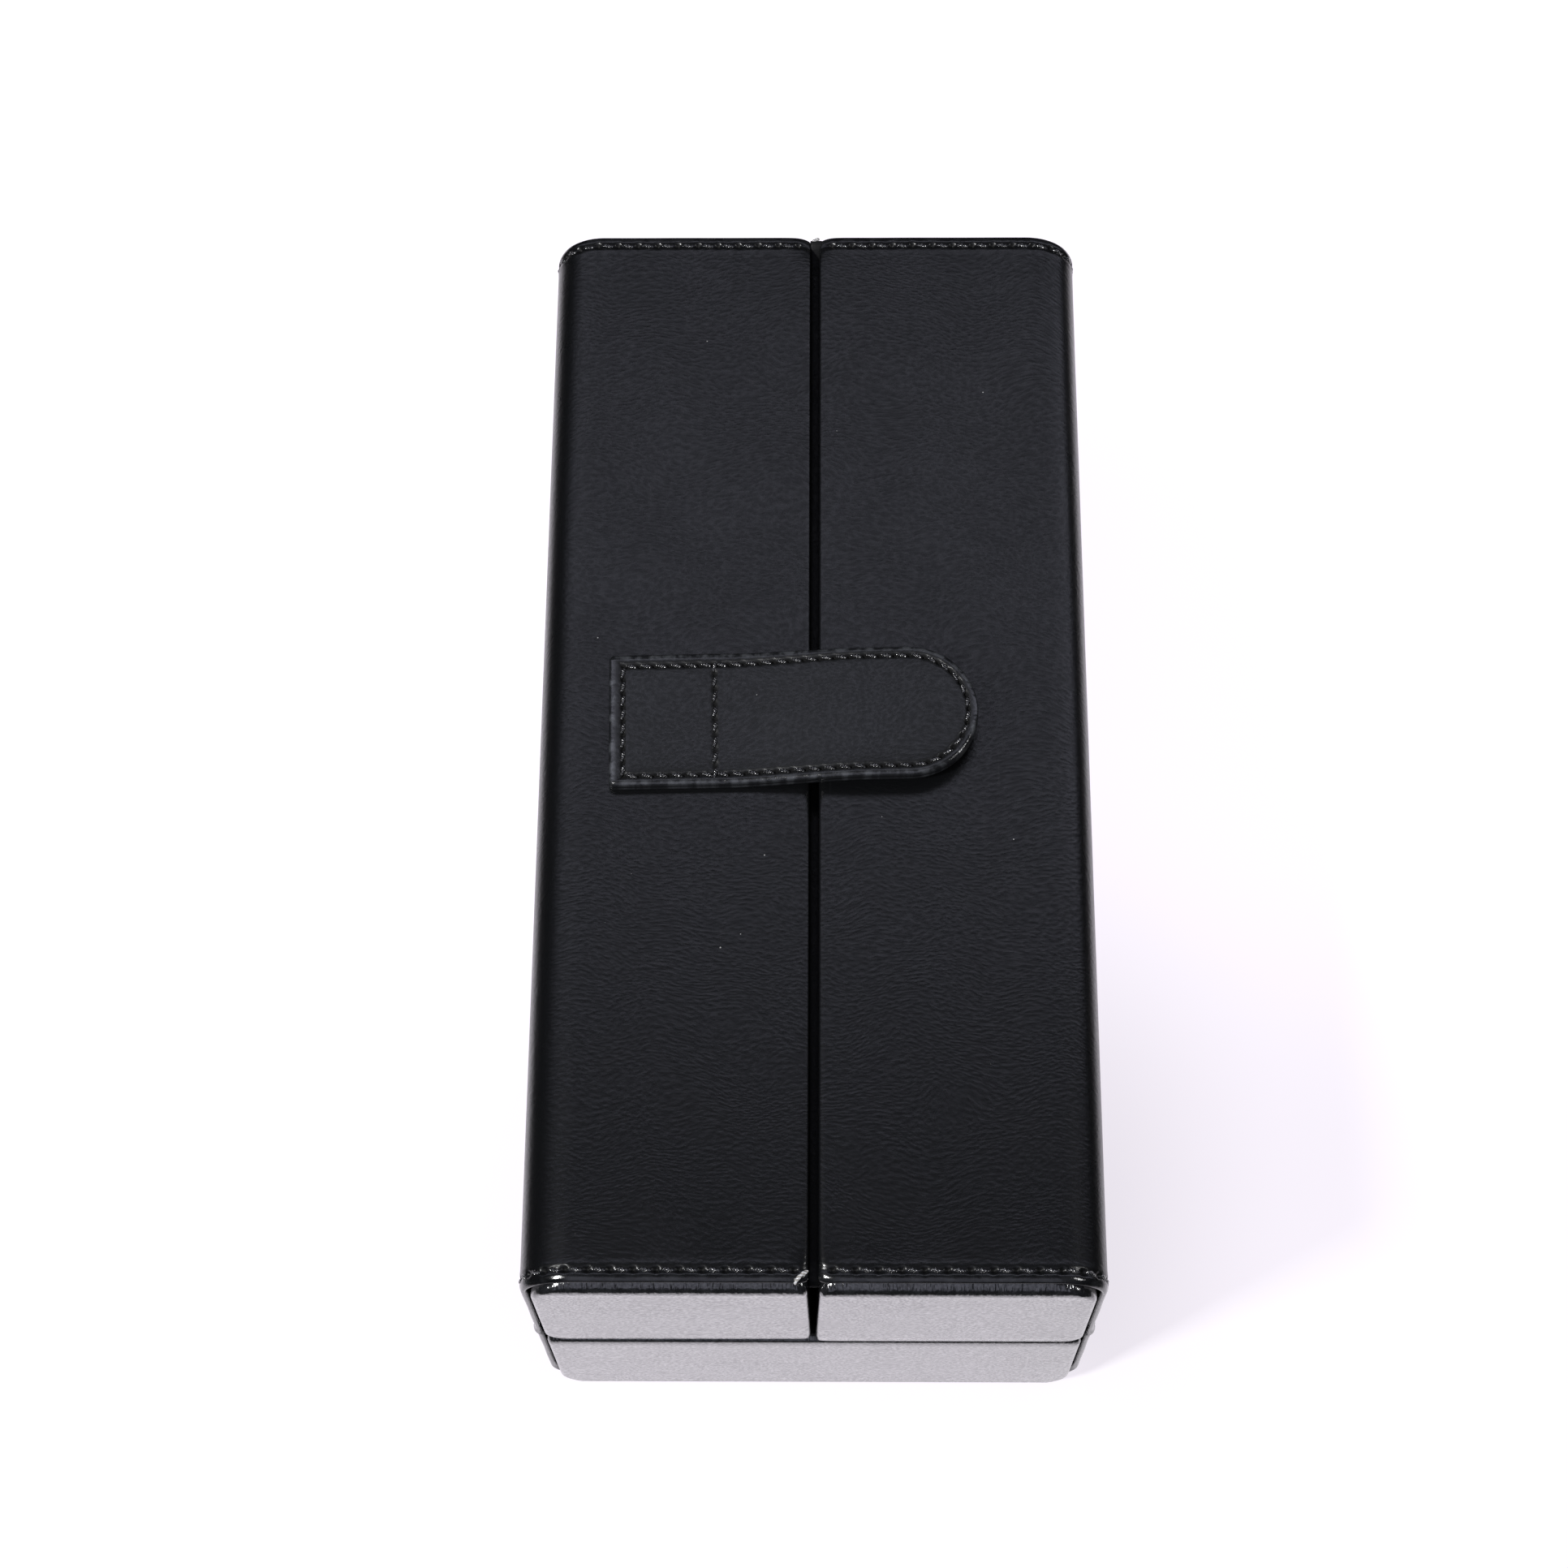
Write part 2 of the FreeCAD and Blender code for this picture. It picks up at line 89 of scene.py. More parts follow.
def camera_directions(pitch, yaw, roll):
    """Right, up and back as columns: a level look turned by yaw, tipped down by pitch, then rolled."""
    level = np.array([math.sin(yaw), math.cos(yaw), 0.0])
    right = np.array([math.cos(yaw), -math.sin(yaw), 0.0])
    zenith = np.array([0.0, 0.0, 1.0])
    forward = level * math.cos(pitch) - zenith * math.sin(pitch)
    up = level * math.sin(pitch) + zenith * math.cos(pitch)
    rolled_right = right * math.cos(roll) + up * math.sin(roll)
    rolled_up = up * math.cos(roll) - right * math.sin(roll)
    return np.stack([rolled_right, rolled_up, -forward], axis=1)


def make_camera():
    """The camera at its place, looking along its own directions, with a lens that frames the box."""
    data = bpy.data.cameras.new("studio_camera")
    data.lens = CAMERA_LENS
    data.sensor_width = SENSOR
    data.sensor_fit = "HORIZONTAL"
    camera = bpy.data.objects.new("studio_camera", data)
    bpy.context.scene.collection.objects.link(camera)
    turn = Matrix(camera_directions(CAMERA_PITCH, CAMERA_YAW, CAMERA_ROLL).tolist()).to_4x4()
    camera.matrix_world = Matrix.Translation(CAMERA_PLACE) @ turn
    bpy.context.scene.camera = camera
    return camera


print("camera at", make_camera().location[:])

# %% [markdown]
# ## Shader nodes from code
# A material is a graph, and wiring it by hand takes many clicks. A few small helpers do it here: one adds a
# node and fills or links its inputs, one does arithmetic, and one turns a value into a soft step between
# two limits.

# %% Node helpers
def feed(tree, socket, value):
    """Links an input to another node's output, or sets it to a plain value."""
    if isinstance(value, bpy.types.NodeSocket):
        tree.links.new(value, socket)
    else:
        socket.default_value = value


def add_node(tree, kind, inputs=None, **settings):
    """A shader node: its settings first, then its inputs by name or number, as values or linked sockets."""
    node = tree.nodes.new("ShaderNode" + kind)
    for name, value in settings.items():
        setattr(node, name, value)
    for key, value in (inputs or {}).items():
        feed(tree, node.inputs[key], value)
    return node


def maths(tree, operation, first, second=0.0):
    """The output of a Math node with one or two inputs."""
    return add_node(tree, "Math", {0: first, 1: second}, operation=operation).outputs[0]


def soft_step(tree, value, low, high, to_low=0.0, to_high=1.0):
    """A smooth step of a value, from to_low at low to to_high at high."""
    limits = {"Value": value, "From Min": low, "From Max": high, "To Min": to_low, "To Max": to_high}
    return add_node(tree, "MapRange", limits, interpolation_type="SMOOTHSTEP").outputs[0]


def coordinates(tree, kind="Object"):
    """Where a point lies, in the object's own measures or on its UV map."""
    return add_node(tree, "TexCoord").outputs[kind]


def parts(tree, vector):
    """The three numbers of a vector, named X, Y and Z."""
    return add_node(tree, "SeparateXYZ", {0: vector}).outputs


# %% [markdown]
# ## The studio
# The box stands on a white sheet under one soft lamp at the upper left, with a small one at the right. The
# sheet is white to the camera and in reflections, but keeps part of its real shading, so that the shadow
# stays. Close to the box's right side it glows less, so that the shadow is deepest there. In reflections it
# ends a hand's width from the box, and the room is dark but for the upper back, a soft strip in front and a
# faint light overhead. Black leather shows little but its reflections, so these bright and dark fields are
# what makes its shape readable.

# %% White sheet
FLOOR_PLAIN = (0.8, 0.8, 0.8, 1)
FLOOR_TINT = (1.0, 0.942, 1.04, 1)
FLOOR_GLOW = 0.835
FLOOR_FAR_GLOW = 0.95
FLOOR_SHADED = 0.26
FLOOR_PAINTED_SHADOW = 0.17
CONTACT_REACH = 0.045
BOX_HALF = (0.05, 0.10, 0.0)
NEAR_HALF = (-0.08, 0.035)
SHADED_FROM = (-0.10, -0.055)
CONTACT_FROM = (0.03, 0.06)
SHEET_END = (0.065, 0.135)
ROOM_FRONT = 0.02


def white_floor():
    """A white sheet: part glow and part lit surface where it is seen, dark in reflections beyond the
    sheet's end, and a plain pale surface for all other light. The glow is painted light and shade: more of
    it in the far half and at the left washes the shadow out there, and less close to the box's right is a
    painted shadow that deepens the real one."""
    material = bpy.data.materials.new("white_sheet")
    material.use_nodes = True
    tree = material.node_tree
    tree.nodes.clear()
    path = add_node(tree, "LightPath").outputs
    reflected = maths(tree, "MAXIMUM", path["Is Glossy Ray"], path["Is Transmission Ray"])
    seen = maths(tree, "MAXIMUM", path["Is Camera Ray"], reflected)
    place = coordinates(tree)
    along = parts(tree, place)
    near = soft_step(tree, along["Y"], *NEAR_HALF, 1.0, 0.0)
    shaded = maths(tree, "MULTIPLY", near, soft_step(tree, along["X"], *SHADED_FROM))
    folded = add_node(tree, "VectorMath", {0: place}, operation="ABSOLUTE").outputs[0]
    off_box = add_node(tree, "VectorMath", {0: folded, 1: BOX_HALF}, operation="SUBTRACT").outputs[0]
    off = parts(tree, off_box)
    away = maths(tree, "MAXIMUM", off["X"], off["Y"])
    beyond = maths(tree, "MULTIPLY", reflected, soft_step(tree, away, *SHEET_END))
    right = maths(tree, "MULTIPLY", near, soft_step(tree, along["X"], *CONTACT_FROM))
    # Painted shadow: less glow and a larger lit share close to the box's right deepen the shadow there.
    painted_shadow = maths(tree, "MULTIPLY", right, soft_step(tree, away, 0.0, CONTACT_REACH, FLOOR_PAINTED_SHADOW, 0.0))
    # Painted light: the far half and the left glow more, which washes the shadow out there.
    plain_glow = soft_step(tree, shaded, 0.0, 1.0, FLOOR_FAR_GLOW, FLOOR_GLOW)
    strength = maths(tree, "SUBTRACT", plain_glow, painted_shadow)
    lit = add_node(tree, "BsdfDiffuse", {"Color": maths(tree, "ADD", painted_shadow, FLOOR_SHADED)}).outputs[0]
    glow = add_node(tree, "Emission", {"Color": FLOOR_TINT, "Strength": strength}).outputs[0]
    white = add_node(tree, "AddShader", {0: lit, 1: glow}).outputs[0]
    dark = add_node(tree, "BsdfDiffuse", {"Color": (ROOM_FRONT,) * 3 + (1,)}).outputs[0]
    shown = add_node(tree, "MixShader", {0: beyond, 1: white, 2: dark}).outputs[0]
    plain = add_node(tree, "BsdfDiffuse", {"Color": FLOOR_PLAIN}).outputs[0]
    both = add_node(tree, "MixShader", {0: seen, 1: plain, 2: shown}).outputs[0]
    add_node(tree, "OutputMaterial", {"Surface": both})
    return material


# %% Room
ROOM_WHITE = (1, 1, 1, 1)
ROOM_TINT = (0.95, 0.965, 1.17, 1)
ROOM_FILL = 0.42
ROOM_BACK = 1.10
ROOM_TOP = 0.08
BACK_RISE = (0.26, 0.44)
BACK_FALL = (0.42, 0.62)
BACK_UP = (-0.25, 0.4)
BACK_SLOPE = 0.3
ROOM_OVER = 0.025
OVER_UP = (0.55, 0.85)
ROOM_STRIP = 0.36
STRIP_FRONT = (-0.42, -0.24)
STRIP_SIDE = (0.14, 0.34)
STRIP_UP = (0.15, 0.35)


def studio_room():
    """The room as a world: white behind the floor's edge, plain fill for shading, and in reflections dark
    walls that grow lighter upwards and to the back, sooner at the right than at the left, with a soft strip
    of light in front and a faint one overhead. Each light is a product of soft steps of the direction."""
    world = bpy.data.worlds.new("studio_room")
    world.use_nodes = True
    tree = world.node_tree
    tree.nodes.clear()
    path = add_node(tree, "LightPath").outputs
    direction = parts(tree, coordinates(tree, "Generated"))
    x, y, z = direction["X"], direction["Y"], direction["Z"]
    rise = soft_step(tree, y, *BACK_RISE)
    backwards = maths(tree, "MULTIPLY", rise, soft_step(tree, y, *BACK_FALL, 1.0, ROOM_TOP))
    upwards = maths(tree, "ADD", z, maths(tree, "MULTIPLY", x, BACK_SLOPE))
    light = maths(tree, "MULTIPLY", backwards, soft_step(tree, upwards, *BACK_UP))
    wall = soft_step(tree, light, 0.0, 1.0, ROOM_FRONT, ROOM_BACK)
    over = soft_step(tree, z, *OVER_UP, 0.0, ROOM_OVER)
    front = soft_step(tree, y, *STRIP_FRONT, ROOM_STRIP, 0.0)
    aside = soft_step(tree, maths(tree, "ABSOLUTE", x), *STRIP_SIDE, 1.0, 0.0)
    strip = maths(tree, "MULTIPLY", maths(tree, "MULTIPLY", front, aside), soft_step(tree, z, *STRIP_UP))
    glow = maths(tree, "ADD", maths(tree, "ADD", wall, over), strip)
    walls = add_node(tree, "Background", {"Color": ROOM_TINT, "Strength": glow}).outputs[0]
    fill_light = add_node(tree, "Background", {"Color": ROOM_WHITE, "Strength": ROOM_FILL}).outputs[0]
    backdrop = add_node(tree, "Background", {"Color": ROOM_WHITE, "Strength": 1.0}).outputs[0]
    inside = add_node(tree, "MixShader", {0: path["Is Glossy Ray"], 1: fill_light, 2: walls}).outputs[0]
    seen = maths(tree, "MAXIMUM", path["Is Camera Ray"], path["Is Transmission Ray"])
    both = add_node(tree, "MixShader", {0: seen, 1: inside, 2: backdrop}).outputs[0]
    add_node(tree, "OutputWorld", {"Surface": both})
    bpy.context.scene.world = world


# %% Floor and lamps
FLOOR_HALF = 3.0
FLOOR_DROP = 0.15 * MM
LAMPS = {
    "key_lamp": {"place": (-0.68, -0.44, 0.96), "size": 0.13, "power": 9.0},
    "side_lamp": {"place": (0.95, -0.25, 0.75), "size": 0.16, "power": 1.6},
}


def lamp(name, place, size, power):
    """A square area lamp at a place, turned to face the box."""
    data = bpy.data.lights.new(name, "AREA")
    data.size = size
    data.energy = power
    holder = bpy.data.objects.new(name, data)
    bpy.context.scene.collection.objects.link(holder)
    turn = Vector(place).to_track_quat("Z", "Y").to_matrix().to_4x4()
    holder.matrix_world = Matrix.Translation(place) @ turn


def make_studio():
    """The floor, a square just below the box, with the room and the lamps around it."""
    corner = np.array([[-1, -1, 0], [1, -1, 0], [1, 1, 0], [-1, 1, 0]]) * FLOOR_HALF
    corner[:, 2] = -FLOOR_DROP
    mesh = bpy.data.meshes.new("floor")
    mesh.from_pydata(corner.tolist(), [], [(0, 1, 2, 3)])
    mesh.materials.append(white_floor())
    floor = bpy.data.objects.new("floor", mesh)
    bpy.context.scene.collection.objects.link(floor)
    studio_room()
    for name, measures in LAMPS.items():
        lamp(name, **measures)
    bpy.context.scene.view_settings.view_transform = "Standard"


make_studio()
print("lamps:", [light.name for light in bpy.data.lights])

# %% [markdown]
# ## From arrays to a mesh
# Every piece is a grid of points: rows by columns, sometimes several copies of the same grid. The grid's
# last column repeats its first where the surface closes on itself. Merging the doubles then closes seams
# and poles, and the normals are worked out again on the closed shell, so that all faces point outwards.

# %% Mesh helpers
MERGE = 1e-7


def grid_faces(copies, rows, columns):
    """Quads between neighbouring points of each grid, as numbers into the flat list of points."""
    number = np.arange(copies * rows * columns).reshape(copies, rows, columns)
    quads = [number[:, :-1, :-1], number[:, :-1, 1:], number[:, 1:, 1:], number[:, 1:, :-1]]
    return np.stack(quads, axis=-1).reshape(-1, 4)


def close_seams(mesh):
    """Merges points that coincide and turns the faces of each closed shell outwards."""
    shell = bmesh.new()
    shell.from_mesh(mesh)
    bmesh.ops.remove_doubles(shell, verts=shell.verts, dist=MERGE)
    bmesh.ops.recalc_face_normals(shell, faces=shell.faces)
    open_edges = sum(edge.is_boundary for edge in shell.edges)
    shell.to_mesh(mesh)
    shell.free()
    return open_edges


def new_piece(name, points, material, uv=None, masks=None):
    """A mesh object from one grid of points or several, with a UV map and point masks if given."""
    grids = points.reshape(-1, *points.shape[-3:])
    faces = grid_faces(*grids.shape[:3])
    mesh = bpy.data.meshes.new(name)
    mesh.vertices.add(grids.size // 3)
    mesh.vertices.foreach_set("co", grids.astype(np.float32).ravel())
    mesh.loops.add(faces.size)
    mesh.loops.foreach_set("vertex_index", faces.ravel().astype(np.int32))
    mesh.polygons.add(len(faces))
    mesh.polygons.foreach_set("loop_start", np.arange(0, faces.size, 4, dtype=np.int32))
    mesh.update(calc_edges=True)
    if uv is not None:
        flat = np.broadcast_to(uv, grids.shape[:3] + (2,)).reshape(-1, 2)
        layer = mesh.uv_layers.new(name="surface")
        layer.data.foreach_set("uv", flat[faces.ravel()].astype(np.float32).ravel())
    for label, mask in (masks or {}).items():
        values = np.broadcast_to(mask, grids.shape[:3]).ravel().astype(np.float32)
        mesh.attributes.new(label, "FLOAT", "POINT").data.foreach_set("value", values)
    open_edges = close_seams(mesh)
    mesh.polygons.foreach_set("use_smooth", np.ones(len(mesh.polygons), dtype=bool))
    mesh.materials.append(material)
    piece = bpy.data.objects.new(name, mesh)
    bpy.context.scene.collection.objects.link(piece)
    print(f"{name}: {len(mesh.polygons)} faces, {open_edges} open edges")
    return piece


def fitted_piece(name, node, points, material, body, masks=None):
    """A piece that takes the place of a node of the frame, and rides a body."""
    piece = new_piece(name, points, material, masks=masks)
    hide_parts(node)
    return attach(piece, body)


# %% [markdown]
# ## Effects that several finishes share
# Leather grain, lint, rubbed edges, velvet pile and the twist of thread each become a node group, so that
# every finish can use them at its own scale. A group only puts out values that change over the surface. The
# shader itself stays in each material.

# %% Group helpers
def start_group(name, inputs, outputs):
    """An empty node group with float or vector inputs and float outputs."""
    tree = bpy.data.node_groups.new(name, "ShaderNodeTree")
    for label, value in inputs.items():
        kind = "NodeSocketVector" if value is None else "NodeSocketFloat"
        socket = tree.interface.new_socket(label, in_out="INPUT", socket_type=kind)
        if value is not None:
            socket.default_value = value
    for label in outputs:
        tree.interface.new_socket(label, in_out="OUTPUT", socket_type="NodeSocketFloat")
    return tree, tree.nodes.new("NodeGroupInput").outputs, tree.nodes.new("NodeGroupOutput").inputs


def scaled(tree, vector, factor):
    """A vector times a number that may be a socket."""
    return add_node(tree, "VectorMath", {0: vector, "Scale": factor}, operation="SCALE").outputs[0]


def drawn_out(tree, vector, factors):
    """A vector whose three numbers each have a factor of their own, which draws a pattern out."""
    return add_node(tree, "VectorMath", {0: vector, 1: factors}, operation="MULTIPLY").outputs[0]


def noise(tree, vector, scale, detail=2.0):
    """The grey value of a noise texture."""
    return add_node(tree, "TexNoise", {"Vector": vector, "Scale": scale, "Detail": detail}).outputs[0]


# %% Leather grain
GRAIN_DRIFT = 45.0
GRAIN_BEND = 0.012
GRAIN_DETAIL = 0.6
PEBBLE_LIMITS = (0.75, 0.05)
PEBBLE_SHARE = 0.12
TONE_SCALE = 60.0


def leather_grain():
    """Short ripples: a noise drawn out along x and bent by a broad noise, with small pebbles on it."""
    inputs = {"Place": None, "Ripples": 2800.0, "Stretch": 0.36}
    tree, given, made = start_group("leather_grain", inputs, ["Height", "Tone"])
    place, ripples = given["Place"], given["Ripples"]
    broad = {"Vector": place, "Scale": GRAIN_DRIFT, "Detail": 1.0}
    bend = {0: add_node(tree, "TexNoise", broad).outputs["Color"], 1: (GRAIN_BEND,) * 3, 2: place}
    bent = add_node(tree, "VectorMath", bend, operation="MULTIPLY_ADD").outputs[0]
    across = maths(tree, "MULTIPLY", ripples, given["Stretch"])
    narrow = add_node(tree, "CombineXYZ", {"X": across, "Y": ripples, "Z": ripples}).outputs[0]
    waves = noise(tree, drawn_out(tree, bent, narrow), 1.0, GRAIN_DETAIL)
    cells = add_node(tree, "TexVoronoi", {"Vector": scaled(tree, place, ripples)}).outputs["Distance"]
    pebbles = maths(tree, "MULTIPLY", soft_step(tree, cells, *PEBBLE_LIMITS), PEBBLE_SHARE)
    feed(tree, made["Height"], maths(tree, "ADD", waves, pebbles))
    feed(tree, made["Tone"], noise(tree, place, TONE_SCALE))
    return tree


GRAIN = leather_grain()
print("grain:", GRAIN.name)

# %% Lint, scuffs and rubbed edges
LINT_RARE = 4.0
LINT_SIZE = 0.038
SCUFF_LINES = (700.0, 22.0, 22.0)
SCUFF_THIN = (0.76, 0.82)
SCUFF_SCALE = 45.0
SCUFF_SPOTS = (0.60, 0.68)
RUB_SCALE = 420.0
RUB_LIMITS = (0.42, 0.62)
PUCKER_LINES = (1700.0, 400.0, 400.0)


def lint_and_scuffs():
    """Lint: dots at the points of a sparse cell pattern. Scuffs: thin peaks of a drawn-out noise."""
    tree, given, made = start_group("lint_and_scuffs", {"Place": None, "Specks": 260.0}, ["Lint", "Scuffs"])
    cells = add_node(tree, "TexVoronoi", {"Vector": given["Place"], "Scale": given["Specks"]}).outputs
    size = add_node(tree, "SeparateColor", {0: cells["Color"]}).outputs["Red"]
    limit = maths(tree, "MULTIPLY", maths(tree, "POWER", size, LINT_RARE), LINT_SIZE)
    feed(tree, made["Lint"], maths(tree, "LESS_THAN", cells["Distance"], limit))
    lines = noise(tree, drawn_out(tree, given["Place"], SCUFF_LINES), 1.0, 0.0)
    where = noise(tree, given["Place"], SCUFF_SCALE, 1.0)
    thin = soft_step(tree, lines, *SCUFF_THIN)
    feed(tree, made["Scuffs"], maths(tree, "MULTIPLY", thin, soft_step(tree, where, *SCUFF_SPOTS)))
    return tree


def edge_rub():
    """Wear along an edge: its mask broken up by noise, and the fine puckers of turned leather there."""
    tree, given, made = start_group("edge_rub", {"Place": None, "Edge": 0.0}, ["Rub", "Pucker"])
    patches = soft_step(tree, noise(tree, given["Place"], RUB_SCALE, 3.0), *RUB_LIMITS)
    folds = noise(tree, drawn_out(tree, given["Place"], PUCKER_LINES), 1.0, 1.0)
    feed(tree, made["Rub"], maths(tree, "MULTIPLY", patches, given["Edge"]))
    feed(tree, made["Pucker"], maths(tree, "MULTIPLY", folds, given["Edge"]))
    return tree


LINT = lint_and_scuffs()
RUB = edge_rub()
print("wear:", LINT.name, RUB.name)

# %% Velvet pile and thread twist
BRUSH_SCALE = 55.0
BRUSH_LIMITS = (0.35, 0.65)
PLIES = 2


def velvet_pile():
    """Velvet: a very fine noise for the fibres, and broad patches where the pile is brushed aside."""
    tree, given, made = start_group("velvet_pile", {"Place": None, "Fibres": 4500.0}, ["Height", "Brushed"])
    patches = noise(tree, given["Place"], BRUSH_SCALE, 3.0)
    feed(tree, made["Height"], noise(tree, given["Place"], given["Fibres"], 1.0))
    feed(tree, made["Brushed"], soft_step(tree, patches, *BRUSH_LIMITS))
    return tree


def thread_twist():
    """Two plies of thread: a wave that runs along the thread and round it, and so winds like a screw."""
    tree, given, made = start_group("thread_twist", {"Place": None, "Turns": 2.5}, ["Height"])
    place = parts(tree, given["Place"])
    along = maths(tree, "MULTIPLY", place["X"], given["Turns"])
    angle = maths(tree, "MULTIPLY", maths(tree, "ADD", along, place["Y"]), PLIES * 2 * math.pi)
    feed(tree, made["Height"], maths(tree, "SINE", angle))
    return tree


PILE = velvet_pile()
TWIST = thread_twist()
print("groups:", [group.name for group in bpy.data.node_groups])

# %% [markdown]
# ## The finishes
# The jacket and strap are nearly black leather with a fine rippled grain, glossier on the rolled edges. The
# trays wear a thinner and shinier black, which mirrors the white sheet. Inside is dark velvet. The same
# recipe builds all three leathers: colour, roughness, coat and bump come from the groups, and constant
# numbers sit on the shader.

# %% Material helpers
GREEN_SHARE = 0.3


def start_material(name):
    """An empty node material with its Principled shader wired to the output."""
    material = bpy.data.materials.new(name)
    material.use_nodes = True
    tree = material.node_tree
    tree.nodes.clear()
    shader = add_node(tree, "BsdfPrincipled")
    add_node(tree, "OutputMaterial", {"Surface": shader.outputs[0]})
    return material, tree, shader.inputs


def fill(tree, shader, sockets):
    """Feeds a shader's sockets by their names, from values or links."""
    for name, value in sockets.items():
        feed(tree, shader[name], value)


def use_group(tree, group, inputs):
    """A node group placed in a material."""
    return add_node(tree, "Group", inputs, node_tree=group).outputs


def mixed(tree, share, first, second):
    """Two colours mixed by a share."""
    return add_node(tree, "Mix", {0: share, 6: first, 7: second}, data_type="RGBA").outputs[2]


def emboss(tree, height, depth, strength=1.0):
    """A normal that is bent by a height map, as if its full height were the depth."""
    return add_node(tree, "Bump", {"Strength": strength, "Distance": depth, "Height": height}).outputs[0]


def grey(value, tint=0.0):
    """A grey with a little blue in it, and less green, as a colour socket's value."""
    return (value, value * (1 + GREEN_SHARE * tint), value * (1 + tint), 1.0)


# %% Leather
HIDE_TINT = 0.25
SCUFF_SHARE = 0.12
SCUFF_TONE = grey(0.09, 0.1)
RUB_SHARE = 0.6
RUB_TINT = 0.2
LINT_SHARE = 0.8
LINT_TONE = grey(0.45)
# Painted shade: the black that needle holes, grooves and the gap flap are mixed towards.
PAINTED_SHADE_TONE = grey(0.001)
HOLE_DULL = 0.5
TONE_LIMITS = (0.3, 0.7)
ROUGH_DRIFT = 0.02
EDGE_POLISH = 0.14
RIDGE_LIMITS = (0.3, 0.8)


def leather_colour(tree, tones, worn, painted_shade, grain, lint, rub):
    """The hide's colour: a drift between two tones, then scuffed, rubbed and dusted, and painted black as
    shade in needle holes, grooves and the gap flap.
    """
    hide = mixed(tree, grain["Tone"], grey(tones[0], HIDE_TINT), grey(tones[1], HIDE_TINT))
    scuffed = mixed(tree, maths(tree, "MULTIPLY", lint["Scuffs"], SCUFF_SHARE), hide, SCUFF_TONE)
    rubbed = mixed(tree, maths(tree, "MULTIPLY", rub["Rub"], RUB_SHARE), scuffed, grey(worn, RUB_TINT))
    dusted = mixed(tree, maths(tree, "MULTIPLY", lint["Lint"], LINT_SHARE), rubbed, LINT_TONE)
    return mixed(tree, painted_shade, dusted, PAINTED_SHADE_TONE)


def leather(name, pattern, tones, rough, ripples, stretch, relief, puckers, worn, coat, edge_coat, shine):
    """Black leather on the pattern of its UV map or of the object. Edges are worn lighter and polished,
    lint lies on it, and its coat is thicker on the ridges of the grain than between them. Needle holes,
    grooves and the gap flap get painted shade: their colour goes to black, and they are dull and without
    coat."""
    material, tree, shader = start_material(name)
    place = coordinates(tree, pattern)
    edge = add_node(tree, "Attribute", attribute_name="edge").outputs["Fac"]
    painted_shade = add_node(tree, "Attribute", attribute_name="painted_shade").outputs["Fac"]
    grain = use_group(tree, GRAIN, {"Place": place, "Ripples": ripples, "Stretch": stretch})
    lint = use_group(tree, LINT, {"Place": place})
    rub = use_group(tree, RUB, {"Place": place, "Edge": edge})
    drift = soft_step(tree, grain["Tone"], *TONE_LIMITS, rough + ROUGH_DRIFT, rough - ROUGH_DRIFT)
    polished = maths(tree, "SUBTRACT", drift, maths(tree, "MULTIPLY", edge, EDGE_POLISH))
    gloss = soft_step(tree, grain["Height"], *RIDGE_LIMITS, *coat)
    coated = maths(tree, "ADD", gloss, maths(tree, "MULTIPLY", edge, edge_coat))
    height = maths(tree, "ADD", grain["Height"], maths(tree, "MULTIPLY", rub["Pucker"], puckers))
    normal = emboss(tree, height, relief)
    fill(tree, shader, {
        "Base Color": leather_colour(tree, tones, worn, painted_shade, grain, lint, rub),
        "Roughness": maths(tree, "ADD", polished, maths(tree, "MULTIPLY", painted_shade, HOLE_DULL)),
        "Coat Weight": maths(tree, "MULTIPLY", coated, soft_step(tree, painted_shade, 0.0, 1.0, 1.0, 0.0)),
        "Normal": normal,
        "Coat Normal": normal,
    })
    fill(tree, shader, shine)
    return material


COVER_LEATHER = leather(
    "cover_leather", "UV", tones=(0.0031, 0.0048), rough=0.27, ripples=1800.0, stretch=0.48,
    relief=0.040 * MM, puckers=0.4, worn=0.02, coat=(0.02, 0.14), edge_coat=0.4,
    shine={"Specular IOR Level": 0.39, "Coat IOR": 2.0, "Coat Roughness": 0.14},
)
STRAP_LEATHER = leather(
    "strap_leather", "UV", tones=(0.0068, 0.0102), rough=0.36, ripples=1700.0, stretch=0.75,
    relief=0.05 * MM, puckers=0.4, worn=0.11, coat=(0.0, 0.16), edge_coat=0.4,
    shine={"Specular IOR Level": 0.44, "Coat IOR": 2.0, "Coat Roughness": 0.18},
)
TRAY_LEATHER = leather(
    "tray_leather", "Object", tones=(0.006, 0.009), rough=0.26, ripples=2200.0, stretch=0.8,
    relief=0.025 * MM, puckers=8.0, worn=0.02, coat=(0.42, 1.02), edge_coat=-0.2,
    shine={"IOR": 1.8, "Coat IOR": 2.1, "Coat Roughness": 0.14},
)
print("leathers:", [material.name for material in bpy.data.materials])

# %% Thread and velvet
THREAD_RELIEF = 0.06 * MM
THREAD_ROUGH = (0.30, 0.16)
THREAD_TINT = 0.1
# Painted light and shade on the thread: how much lighter the crests of the twist are than its grooves.
CREST_PAINTED_LIGHTER = 2.0
VELVET_RELIEF = 0.12 * MM
VELVET_ROUGH = (0.95, 0.8)
VELVET_SPECKS = 140.0
VELVET_LINT = 0.4
VELVET_LINT_TONE = grey(0.3)


